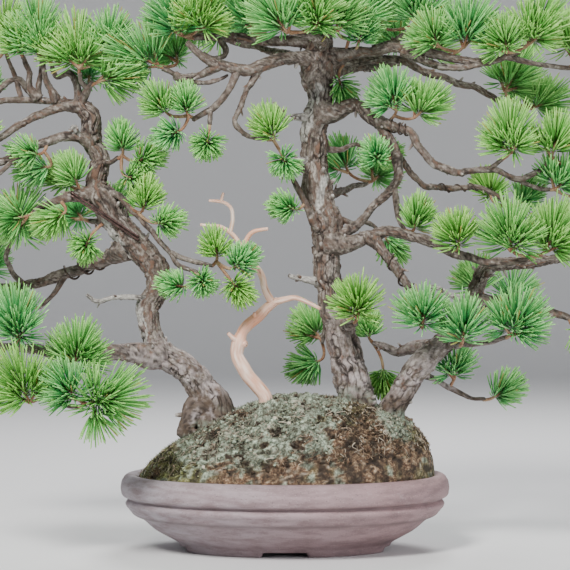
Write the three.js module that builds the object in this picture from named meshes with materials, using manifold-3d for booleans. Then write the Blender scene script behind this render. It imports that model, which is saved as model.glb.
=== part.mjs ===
// A root-connected white pine bonsai: three living trunks and one bare dead stem on a common root,
// in an oval clay pot. Millimetres, +Z up, +X to the right and +Y to the back.
// The origin is under the middle of the pot, on the surface that its feet stand on.

import * as THREE from 'three';
import { mergeVertices } from 'three/addons/utils/BufferGeometryUtils.js';
import Module from 'manifold-3d';

// Driving dimensions

const POT_HALF_LENGTH = 164;
const POT_HALF_DEPTH = 124;
const POT_HEIGHT = 76;
const FLOOR_UNDERSIDE = 8;
const FLOOR_TOP = 16;
const FOOT_NOTCH_WIDTH = 46;
const FOOT_NOTCH_HEIGHT = 5;
const DRAIN_HOLE_RADIUS = 13;
const DRAIN_HOLE_OFFSET = 58;
const SCREEN_SIDE = 38;
const SCREEN_THICKNESS = 1;
const MOUND_EDGE_HEIGHT = 70;
const MOUND_TOP_HEIGHT = 149;
const MOUND_HALF_LENGTH = 144;
const MOUND_HALF_DEPTH = 106;
const MOSS_THICKNESS = 3.4;
const TOUCH = 0.3; // the gap between pieces that touch
const WOOD_FIT = 0.5; // the gap round wood that stands in soil or moss

// Places on the tree are written as they are seen from 1.9 m in front of the pot, level with the
// middle of the tree: how far across, how far back and how high. seen() takes out what that
// distance does to them.

const EYE_DISTANCE = 1900;
const EYE_HEIGHT = 264;

function seen([across, back, up]) {
  const farther = 1 + back / EYE_DISTANCE;
  return new THREE.Vector3(across * farther, back, EYE_HEIGHT + (up - EYE_HEIGHT) * farther);
}

// Chance that gives the same draw each time: a fixed hash of whole numbers, from 0 to 1.

function chance(...keys) {
  const mixed = keys.reduce((sum, key, place) => sum + (key + 1) * (12.9898 + 65.2331 * place), 0);
  const wave = Math.sin(mixed) * 43758.5453;
  return wave - Math.floor(wave);
}

// Solids: joined and cut as manifolds, and handed over as buffer geometries

const wasm = await Module();
wasm.setup();

function solidFrom(points, triangles) {
  const mesh = new wasm.Mesh({
    numProp: 3,
    vertProperties: new Float32Array(points.flatMap((p) => [p.x, p.y, p.z])),
    triVerts: new Uint32Array(triangles.flat()),
  });
  return new wasm.Manifold(mesh);
}

function solidOf(geometry) {
  const bare = geometry.clone();
  bare.deleteAttribute('normal');
  bare.deleteAttribute('uv');
  const merged = mergeVertices(bare, 1e-4);
  const mesh = new wasm.Mesh({
    numProp: 3,
    vertProperties: new Float32Array(merged.attributes.position.array),
    triVerts: new Uint32Array(merged.index.array),
  });
  return new wasm.Manifold(mesh);
}

function geometryOf(solid) {
  const { vertProperties, triVerts, numProp } = solid.getMesh();
  if (numProp !== 3) throw new Error('a solid has more than positions');
  const geometry = new THREE.BufferGeometry();
  geometry.setAttribute('position', new THREE.BufferAttribute(vertProperties, 3));
  geometry.setIndex(new THREE.BufferAttribute(triVerts, 1));
  geometry.computeVertexNormals();
  return geometry;
}

function joined(solids) {
  return wasm.Manifold.union(solids);
}

// Slivers that cutting and joining leave are smoothed away, within a tenth of a millimetre.
function tidied(solid) {
  return solid.asOriginal().simplify(0.1);
}

// Cutting can leave a loose scrap, and only the largest body stays.
function largestBody(solid) {
  const bodies = solid.decompose();
  return bodies.reduce((best, body) => (body.volume() > best.volume() ? body : best));
}

function box(width, depth, height, x, y, z) {
  return solidOf(new THREE.BoxGeometry(width, depth, height).translate(x, y, z));
}

function uprightCylinder(radius, height, x, y, z, sides) {
  const upright = new THREE.CylinderGeometry(radius, radius, height, sides).rotateX(Math.PI / 2);
  return solidOf(upright.translate(x, y, z));
}

// A closed body of rings round the upright axis, from a first pole to a last one.
function ringedBody(columns, ringCount, pointAt, firstPole, lastPole) {
  const points = [firstPole, lastPole];
  const triangles = [];
  for (let ring = 0; ring < ringCount; ring++) {
    for (let column = 0; column < columns; column++) {
      points.push(pointAt(ring, (2 * Math.PI * column) / columns));
    }
  }
  const at = (ring, column) => 2 + ring * columns + (column % columns);
  for (let column = 0; column < columns; column++) {
    triangles.push([0, at(0, column + 1), at(0, column)]);
    for (let ring = 0; ring + 1 < ringCount; ring++) {
      triangles.push([at(ring, column), at(ring, column + 1), at(ring + 1, column + 1)]);
      triangles.push([at(ring, column), at(ring + 1, column + 1), at(ring + 1, column)]);
    }
    triangles.push([1, at(ringCount - 1, column), at(ringCount - 1, column + 1)]);
  }
  return solidFrom(points, triangles);
}

// The pot: an oval of even wall. Each row is a distance in from the widest line and a height.

const OVAL_COLUMNS = 28;
const POT_OUTSIDE = [
  [60, 0], [57, 8], [36, 20], [23, 31], [14, 35], [11, 38], [5, 46], [8, 51.5],
  [2, 55], [0, 63], [3, 72], [9, POT_HEIGHT],
];
const POT_INSIDE = [[17, 73], [21, 58], [38, 28], [60, FLOOR_TOP]];
const FOOT_RING_WIDTH = 14;

function ovalPoint(inset, height, angle) {
  const x = (POT_HALF_LENGTH - inset) * Math.cos(angle);
  const y = (POT_HALF_DEPTH - inset) * Math.sin(angle);
  return new THREE.Vector3(x, y, height);
}

function potSolid() {
  const footInset = POT_OUTSIDE[0][0] + FOOT_RING_WIDTH;
  const underside = [[footInset + 3, FLOOR_UNDERSIDE], [footInset, 0]];
  const profile = [...underside, ...POT_OUTSIDE, ...POT_INSIDE];
  let pot = ringedBody(
    OVAL_COLUMNS,
    profile.length,
    (ring, angle) => ovalPoint(...profile[ring], angle),
    new THREE.Vector3(0, 0, FLOOR_UNDERSIDE),
    new THREE.Vector3(0, 0, FLOOR_TOP),
  );
  const through = 2.5 * POT_HALF_LENGTH;
  const notchCut = FOOT_NOTCH_HEIGHT + 2; // from 2 mm under the foot
  const notchMiddle = FOOT_NOTCH_HEIGHT - notchCut / 2;
  pot = pot.subtract(box(through, FOOT_NOTCH_WIDTH, notchCut, 0, 0, notchMiddle));
  pot = pot.subtract(box(FOOT_NOTCH_WIDTH, through, notchCut, 0, 0, notchMiddle));
  for (const side of [-1, 1]) {
    const x = side * DRAIN_HOLE_OFFSET;
    pot = pot.subtract(uprightCylinder(DRAIN_HOLE_RADIUS, 2 * FLOOR_TOP, x, 0, FLOOR_TOP, 16));
  }
  return pot;
}

// A drain screen: a thin plate of square mesh that lies over a drain hole.

function screenSolid(side) {
  const x = side * DRAIN_HOLE_OFFSET;
  const z = FLOOR_TOP + TOUCH + SCREEN_THICKNESS / 2;
  const pitch = SCREEN_SIDE / 3.3;
  const opening = pitch * 0.72;
  const lines = [-1, 0, 1].map((place) => place * pitch);
  const openings = lines.flatMap((column) =>
    lines.map((row) => box(opening, opening, 4 * SCREEN_THICKNESS, x + column, row, z)),
  );
  return box(SCREEN_SIDE, SCREEN_SIDE, SCREEN_THICKNESS, x, 0, z).subtract(joined(openings));
}

// The mound of soil with its moss: a dome on the pot's oval, fuller on the right than on the left.
// along runs from 0 at the top to 1 at the edge, and lift is how far it stands out from the dome.

const MOUND_RINGS = [1, 0.89, 0.76, 0.62, 0.47, 0.32, 0.17];

function domePoint(along, angle, lift = 0) {
  const turn = (along * Math.PI) / 2;
  const fullness = 1.95 + 0.6 * Math.cos(angle);
  const out = Math.sin(turn) ** (2 / fullness);
  const up = Math.cos(turn) ** (2 / fullness);
  const halfLength = MOUND_HALF_LENGTH + 2 * Math.cos(angle) + lift;
  const halfDepth = MOUND_HALF_DEPTH + lift;
  const rise = MOUND_TOP_HEIGHT - MOUND_EDGE_HEIGHT + lift;
  return new THREE.Vector3(
    halfLength * out * Math.cos(angle),
    halfDepth * out * Math.sin(angle),
    MOUND_EDGE_HEIGHT + rise * up,
  );
}

// Moss swells the dome in lumps, which are waves across the ground, and ends inside the pot's lip.
function moundPoint(along, angle) {
  if (along === 1) return domePoint(along, angle);
  const { x, y } = domePoint(along, angle);
  const lumps = Math.sin(x / 7.1 + 1.3 * Math.sin(y / 11)) * Math.sin(y / 6.3 + Math.sin(x / 13));
  const swell = Math.sin(x / 19 + 2) * Math.cos(y / 15);
  return domePoint(along, angle, MOSS_THICKNESS + 1.4 * lumps + 1.1 * swell);
}

// The height of the mound over a place, found by halving the way from its top to its edge.
function moundHeight(x, y) {
  const angle = Math.atan2(y / MOUND_HALF_DEPTH, x / MOUND_HALF_LENGTH);
  let [near, far] = [0, 1];
  for (let halving = 0; halving < 20; halving++) {
    const along = (near + far) / 2;
    const point = domePoint(along, angle, MOSS_THICKNESS);
    if (Math.hypot(point.x, point.y) < Math.hypot(x, y)) near = along;
    else far = along;
  }
  return far > 0.999 ? 0 : domePoint(near, angle, MOSS_THICKNESS).z;
}

function moundSolid() {
  const wall = POT_INSIDE.slice(1).reverse();
  const wallRings = wall.map(([inset, height]) => [inset + 2 * TOUCH, height + TOUCH]);
  const mound = ringedBody(
    OVAL_COLUMNS,
    wallRings.length + MOUND_RINGS.length,
    (ring, angle) =>
      ring < wallRings.length
        ? ovalPoint(...wallRings[ring], angle)
        : moundPoint(MOUND_RINGS[ring - wallRings.length], angle),
    new THREE.Vector3(0, 0, FLOOR_TOP + TOUCH),
    moundPoint(0, 0),
  );
  const recess = SCREEN_SIDE + 2;
  const recessHeight = 2 * (SCREEN_THICKNESS + TOUCH);
  const recesses = [-1, 1].map((side) =>
    box(recess, recess, recessHeight, side * DRAIN_HOLE_OFFSET, 0, FLOOR_TOP + TOUCH),
  );
  return mound.subtract(joined(recesses));
}

// A limb: a round section carried along a smooth curve through hand-set places, each written as
// across, back, up and width. gnarl makes the section uneven, and grow makes it fatter all round.

function limbPath(rows, step) {
  const curve = new THREE.CatmullRomCurve3(rows.map(seen), false, 'centripetal');
  const path = [];
  for (let row = 0; row + 1 < rows.length; row++) {
    const length = seen(rows[row]).distanceTo(seen(rows[row + 1]));
    const pieces = Math.max(1, Math.round(length / step));
    for (let piece = 0; piece < pieces; piece++) {
      const part = piece / pieces;
      path.push({
        at: curve.getPoint((row + part) / (rows.length - 1)),
        radius: THREE.MathUtils.lerp(rows[row][3], rows[row + 1][3], part) / 2,
      });
    }
  }
  path.push({ at: seen(rows.at(-1)), radius: rows.at(-1)[3] / 2 });
  return path;
}

function directionsAlong(path) {
  return path.map((_, place) => {
    const before = path[Math.max(place - 1, 0)].at;
    const after = path[Math.min(place + 1, path.length - 1)].at;
    return new THREE.Vector3().subVectors(after, before).normalize();
  });
}

// Sideways directions that turn as little as they can from place to place.
function sidewaysAlong(directions) {
  const runsBack = Math.abs(directions[0].y) >= 0.9;
  let sideways = runsBack ? new THREE.Vector3(1, 0, 0) : new THREE.Vector3(0, 1, 0);
  return directions.map((direction) => {
    sideways = sideways.clone().addScaledVector(direction, -sideways.dot(direction)).normalize();
    return sideways;
  });
}

const TIP_POINT = 0.45; // how far a limb's tip stands out, in radii

function tubeAlong(path, sides, { gnarl = 0, grow = 0, seed = 0 } = {}) {
  const directions = directionsAlong(path);
  const sideways = sidewaysAlong(directions);
  const last = path.length - 1;
  const first = path[0].at.clone().addScaledVector(directions[0], -grow);
  const tipReach = path[last].radius * TIP_POINT + grow;
  const tip = path[last].at.clone().addScaledVector(directions[last], tipReach);
  const points = [first, tip];
  path.forEach(({ at, radius }, place) => {
    const other = new THREE.Vector3().crossVectors(directions[place], sideways[place]);
    for (let side = 0; side < sides; side++) {
      const angle = (2 * Math.PI * side) / sides;
      const ridges =
        Math.sin(2 * angle + place * 0.55 + seed) + 0.7 * Math.sin(3 * angle - place * 0.8);
      const reach = radius * (1 + gnarl * ridges) + grow;
      points.push(
        at.clone()
          .addScaledVector(sideways[place], reach * Math.cos(angle))
          .addScaledVector(other, reach * Math.sin(angle)),
      );
    }
  });
  const at = (place, side) => 2 + place * sides + (side % sides);
  const triangles = [];
  for (let side = 0; side < sides; side++) {
    triangles.push([0, at(0, side + 1), at(0, side)]);
    for (let place = 0; place < last; place++) {
      triangles.push([at(place, side), at(place, side + 1), at(place + 1, side + 1)]);
      triangles.push([at(place, side), at(place + 1, side + 1), at(place + 1, side)]);
    }
    triangles.push([1, at(last, side), at(last, side + 1)]);
  }
  return solidFrom(points, triangles);
}

// Living wood, grown as one piece. Each limb's rows are across, back, up and width.

const TRUNKS = {
  leftTrunk: [
    [-62, 6, 116, 44], [-70, 2, 132, 42], [-73, 0, 145, 34], [-84, -4, 163, 27], [-100, -8, 181, 28],
    [-124, -10, 196, 28], [-133, -10, 213, 22], [-137, -10, 227, 22], [-137, -8, 244, 24],
    [-128, -5, 257, 22], [-127, 0, 274, 24], [-138, 4, 291, 26], [-152, 6, 306, 28],
    [-168, 6, 327, 26], [-182, 6, 349, 30], [-188, 8, 359, 25], [-190, 10, 369, 19],
    [-185, 12, 389, 18], [-193, 12, 409, 20], [-193, 10, 429, 20], [-201, 8, 441, 17],
    [-207, 6, 449, 11],
  ],
  mainTrunk: [
    [58, 8, 116, 48], [66, 5, 136, 44], [69, 2, 150, 37], [67, -1, 174, 33], [63, -2, 189, 31],
    [60, -3, 204, 30], [56, -3, 219, 28], [51, -2, 234, 28], [45, 0, 249, 27], [44, 3, 262, 29],
    [41, 5, 279, 28], [42, 6, 302, 26], [42, 5, 327, 31], [37, 4, 344, 28], [33, 4, 359, 29],
    [29, 5, 389, 25], [29, 6, 409, 27], [33, 7, 429, 27], [36, 8, 449, 26], [33, 8, 469, 29],
    [34, 8, 491, 31], [35, 9, 508, 25], [38, 11, 528, 18], [35, 13, 545, 14],
  ],
  rightTrunk: [
    [96, 0, 110, 34], [104, -7, 132, 29], [108, -10, 144, 25], [118, -12, 159, 24],
    [128, -14, 174, 25], [140, -14, 189, 25], [153, -12, 201, 22], [165, -8, 214, 20],
    [177, -2, 231, 19], [188, 4, 246, 18], [193, 8, 262, 16], [199, 12, 276, 16],
    [215, 16, 285, 14], [245, 20, 287, 11], [275, 24, 290, 8], [306, 28, 297, 5.5],
  ],
  commonRoot: [
    [-98, -2, 108, 20], [-64, 4, 114, 38], [-30, 6, 107, 34], [12, 8, 104, 36], [58, 8, 112, 44],
    [96, 0, 108, 36], [122, -8, 96, 18],
  ],
};

const BRANCHES = {
  rootLeftDown: [[-70, 0, 108, 22], [-90, -26, 84, 14], [-104, -44, 58, 7]],
  rootLeftFlare: [[-78, -2, 146, 26], [-92, -8, 136, 20], [-101, -14, 112, 13]],
  rootRightDown: [[80, 0, 104, 22], [62, 34, 78, 13], [50, 54, 54, 7]],
  rootMainFlare: [[74, 0, 150, 22], [84, -12, 140, 16], [92, -24, 120, 11]],
  lowLeft: [
    [-124, -10, 196, 24], [-145, -22, 195, 20], [-180, -38, 197, 16], [-225, -52, 197, 12],
    [-258, -64, 200, 9],
  ],
  leftTopOne: [
    [-203, 8, 443, 11], [-228, 0, 441, 8.5], [-245, -6, 434, 8], [-265, -14, 424, 7.5],
    [-285, -22, 411, 6.5], [-310, -28, 398, 5],
  ],
  leftTopTwo: [[-204, 8, 445, 10], [-226, 18, 447, 8], [-246, 25, 449, 7]],
  leftHigh: [
    [-193, 11, 407, 14], [-210, 2, 413, 10.5], [-240, -14, 407, 9], [-270, -26, 392, 8],
    [-285, -30, 386, 7], [-312, -36, 377, 5],
  ],
  leftHighStub: [[-208, 3, 413, 8], [-211, -5, 423, 6.5]],
  leftMiddle: [
    [-188, 8, 355, 16], [-202, 1, 354, 13], [-218, -10, 353, 10.5],
  ],
  leftBack: [
    [-158, 7, 300, 18], [-178, 22, 291, 14.5], [-200, 34, 281, 13.5], [-225, 44, 272, 12],
    [-255, 56, 264, 10],
  ],
  leftDeadStub: [
    [-133, -6, 251, 10], [-145, -16, 251, 6.5], [-167, -22, 252, 5.5], [-188, -27, 248, 5],
    [-197, -29, 255, 4.5],
  ],
  leftRear: [[-150, 6, 304, 16], [-158, 42, 314, 10], [-176, 82, 322, 7.5], [-196, 112, 328, 5]],
  crownLeftUpper: [
    [34, 9, 507, 16], [16, 5, 508, 12], [-15, 0, 509, 11], [-52, -8, 512, 9.5], [-90, -16, 511, 7],
  ],
  crownLeftLower: [
    [32, 6, 492, 16], [12, -7, 491, 13], [-12, -17, 488, 12], [-38, -26, 478, 11.5],
    [-68, -34, 485, 10], [-88, -38, 497, 7.5], [-98, -38, 507, 5.5],
  ],
  crownLeftHanging: [
    [-24, -20, 482, 8], [-36, -22, 463, 6], [-44, -24, 444, 5.5], [-50, -25, 426, 5.2],
    [-38, -19, 413, 4.8], [-16, -14, 409, 4.5],
  ],
  crownLeftFar: [[-66, -33, 484, 9], [-86, -24, 473, 7], [-106, -15, 474, 6], [-122, -10, 480, 5]],
  crownRightUpper: [
    [38, 8, 490, 17], [80, -4, 497, 11], [115, -14, 501, 10], [150, -21, 495, 9],
    [185, -28, 487, 8], [205, -31, 485, 7],
  ],
  crownRightUpperTwig: [[90, -7, 499, 8], [112, 2, 510, 6], [128, 4, 520, 4.5]],
  crownRightLower: [
    [38, 12, 486, 16], [70, 26, 488, 10], [110, 38, 489, 8.5], [140, 47, 477, 8], [175, 56, 465, 7.5],
    [202, 60, 456, 6.5], [222, 60, 442, 5.5], [242, 57, 440, 4.8],
  ],
  crownRearLeft: [[34, 9, 482, 18], [10, 46, 492, 11], [-20, 84, 500, 8], [-54, 112, 508, 5.5]],
  crownRearRight: [[35, 9, 474, 18], [64, 46, 480, 11], [100, 84, 484, 8], [138, 108, 490, 5.5]],
  crownFront: [[35, 7, 504, 15], [38, -34, 508, 9], [26, -66, 512, 6.5], [6, -88, 516, 4.8]],
  midRight: [
    [34, 6, 436, 20], [56, -2, 438, 15], [70, -7, 444, 13.5], [86, -13, 433, 12.5],
    [97, -17, 421, 12], [107, -21, 406, 11], [112, -22, 392, 9.5],
  ],
  midRightDown: [
    [112, -22, 394, 9], [113, -20, 370, 9], [102, -12, 355, 8.5], [88, -6, 342, 8.5],
    [76, -2, 328, 9], [50, 2, 312, 12],
  ],
  midRightFar: [
    [93, -16, 427, 11], [112, -27, 421, 8.8], [127, -33, 417, 8.2], [135, -38, 401, 8],
    [150, -42, 385, 8], [180, -46, 376, 7.2],
  ],
  midRightNear: [
    [110, -22, 394, 8], [122, -13, 383, 6.6], [138, -3, 364, 6.2], [168, 4, 360, 5.8],
    [195, 8, 360, 5.2], [222, 10, 348, 4.4],
  ],
  lowRight: [
    [44, 2, 306, 20], [66, -7, 306, 15], [84, -14, 312, 13.5], [104, -24, 319, 11.5],
    [135, -34, 310, 10], [162, -42, 299, 9.2],
  ],
  lowRightGrey: [
    [84, -14, 313, 12], [97, -27, 299, 10.5], [114, -41, 277, 9.5], [127, -52, 256, 8.5],
    [137, -62, 236, 6.5],
  ],
  rightLower: [
    [188, 4, 247, 15], [215, -4, 249, 11], [240, -11, 247, 10], [265, -18, 237, 9],
  ],
  rightLowerStub: [[236, -10, 247, 7], [238, -15, 257, 4.5]],
  rightDeadStub: [[186, 2, 248, 10], [174, -8, 252, 6.8], [162, -14, 257, 5.6], [145, -19, 262, 4.4]],
  rightInner: [
    [150, -11, 198, 17], [131, 5, 201, 12], [112, 16, 196, 10], [98, 24, 203, 7.5], [88, 29, 206, 5.5],
  ],
  rightRear: [[172, -4, 224, 16], [184, 36, 234, 10], [200, 76, 240, 7.5], [218, 106, 246, 5]],
  mainRearLow: [[50, 4, 236, 14], [46, 34, 232, 8], [40, 54, 222, 6], [37, 60, 206, 4.5]],
  mainRearMiddle: [[36, 6, 347, 16], [46, 42, 354, 10], [62, 80, 360, 7.5], [82, 110, 366, 5]],
  mainDeadHigh: [[30, 6, 430, 11], [6, -1, 431, 7], [-15, -5, 427, 5.8], [-35, -8, 424, 4.6]],
  mainDeadHighTwig: [[0, -2, 430, 5.5], [-5, -9, 439, 4.2], [-12, -12, 447, 3.4]],
  mainDeadMiddle: [[26, 4, 390, 9], [10, -6, 388, 6.4], [0, -9, 387, 4.6]],
  mainDeadLow: [[38, 0, 266, 9], [18, -8, 270, 6], [3, -10, 273, 4.4]],
};

// Dead wood of its own colour: the bare stem between the left and the main trunk.

const BARE_STEM = {
  stem: [
    [-14, -12, 127, 15], [-18, -13, 142, 15], [-20, -14, 152, 14], [-30, -16, 164, 14],
    [-42, -18, 179, 14], [-47, -18, 194, 12.5], [-47, -18, 206, 14.5], [-44, -18, 215, 10.5],
    [-38, -16, 224, 11], [-27, -14, 234, 11], [-15, -12, 244, 10], [-7, -12, 249, 7.5],
  ],
  rightArm: [
    [-12, -12, 247, 8], [0, -14, 249.5, 6.2], [12, -18, 251, 5.2], [24, -21, 246, 4.4],
    [35, -25, 241, 3.2],
  ],
  leftArm: [
    [-12, -12, 246, 8.5], [-20, -12, 261, 7], [-22, -12, 271, 6.6], [-27, -13, 280, 6.4],
    [-38, -14, 288, 6.2], [-40, -15, 302, 5.8],
  ],
  forkRight: [[-40, -15, 298, 5.8], [-38, -17, 309, 5], [-32, -19, 317, 4.4], [-18, -22, 320, 3.2]],
  forkLeft: [
    [-40, -15, 298, 5.8], [-46, -13, 307, 4.8], [-54, -12, 317, 4.4], [-64, -9, 322, 3.8],
    [-85, -5, 325, 2.8],
  ],
  forkTop: [
    [-54, -12, 316, 4.4], [-52, -14, 330, 3.8], [-55, -15, 342, 3.5], [-66, -16, 348, 3.2],
    [-75, -17, 350, 2.6],
  ],
  forkTip: [[-64, -16, 347, 3.2], [-61, -18, 357, 2.6]],
  lowerSpur: [[-46, -18, 206, 8], [-51, -22, 210, 5.4], [-57, -25, 216, 3.4]],
  knob: [[-46, -18, 205, 9], [-39, -22, 205, 6.5]],
  upperSpur: [[-32, -15, 229, 6], [-31, -20, 237, 3.4]],
};

function trunkTube(rows, seed, grow) {
  return tubeAlong(limbPath(rows, 18), 8, { gnarl: 0.07, grow, seed });
}

function branchTube(rows, seed, grow) {
  const widest = Math.max(...rows.map((row) => row[3]));
  const sides = widest > 15 ? 6 : widest > 9 ? 5 : 4;
  return tubeAlong(limbPath(rows, 30), sides, { gnarl: 0.05, grow, seed });
}

function woodSolid(grow = 0) {
  const trunks = Object.values(TRUNKS).map((rows, seed) => trunkTube(rows, seed, grow));
  const branches = Object.values(BRANCHES).map((rows, seed) => branchTube(rows, seed, grow));
  return joined([...trunks, ...branches]);
}

function bareStemSolid(grow = 0) {
  const [stem, ...arms] = Object.values(BARE_STEM);
  const stemTube = tubeAlong(limbPath(stem, 16), 7, { gnarl: 0.05, grow });
  const armTubes = arms.map((rows, seed) => tubeAlong(limbPath(rows, 20), 4, { grow, seed }));
  return joined([stemTube, ...armTubes]);
}

// Training wire. A coil turns round a stretch of a limb, and a straight rod leans on the trunk and
// on the branch beside it.

const COILS = {
  coil_left_back_branch: { limb: 'leftBack', from: 0.3, to: 0.72, turns: 3, wire: 2.2 },
  coil_mid_right_far_branch: { limb: 'midRightFar', from: 0.1, to: 0.38, turns: 3, wire: 1.8 },
  coil_mid_right_near_branch: { limb: 'midRightNear', from: 0.5, to: 0.8, turns: 3, wire: 1.6 },
  coil_low_right_branch: { limb: 'lowRightGrey', from: 0.3, to: 0.7, turns: 2.5, wire: 2 },
};
const RODS = {
  stay_rod_upper: [[-214, -13.5, 357], [-146, -7.3, 312]],
  stay_rod_lower: [[-214, -15.1, 353.6], [-146, -8, 308.6]],
};
const ROD_WIDTH = 2.4;

function coilPath({ limb, from, to, turns, wire }) {
  const rows = BRANCHES[limb];
  const curve = new THREE.CatmullRomCurve3(rows.map(seen), false, 'centripetal');
  const steps = Math.round(turns * 8);
  const spine = Array.from({ length: steps + 1 }, (_, step) => {
    const along = THREE.MathUtils.lerp(from, to, step / steps);
    return { at: curve.getPoint(along), along };
  });
  const directions = directionsAlong(spine);
  const sideways = sidewaysAlong(directions);
  return spine.map(({ at, along }, step) => {
    const row = along * (rows.length - 1);
    const whole = Math.min(Math.floor(row), rows.length - 2);
    const width = THREE.MathUtils.lerp(rows[whole][3], rows[whole + 1][3], row - whole);
    const reach = (width / 2) * 1.08 + wire / 2 + 4 * TOUCH;
    const angle = (2 * Math.PI * turns * step) / steps;
    const other = new THREE.Vector3().crossVectors(directions[step], sideways[step]);
    const place = at.clone().addScaledVector(sideways[step], reach * Math.cos(angle));
    return { at: place.addScaledVector(other, reach * Math.sin(angle)), radius: wire / 2 };
  });
}

function rodPath(ends) {
  return ends.map((end) => ({ at: seen(end), radius: ROD_WIDTH / 2 }));
}

// Sprays of needles. A spray is a twig, or a few that grow from one another, with the shoots that it
// carries. Each row of shoots has the place where they leave the wood, and then its tufts: the
// first on its own shoot, and the others on shoots that leave the middle of the first. A tuft is
// across, back, up, the angle it aims at in the picture (0 right, 90 up), its tilt towards the
// front, and the length of its needles.

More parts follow.
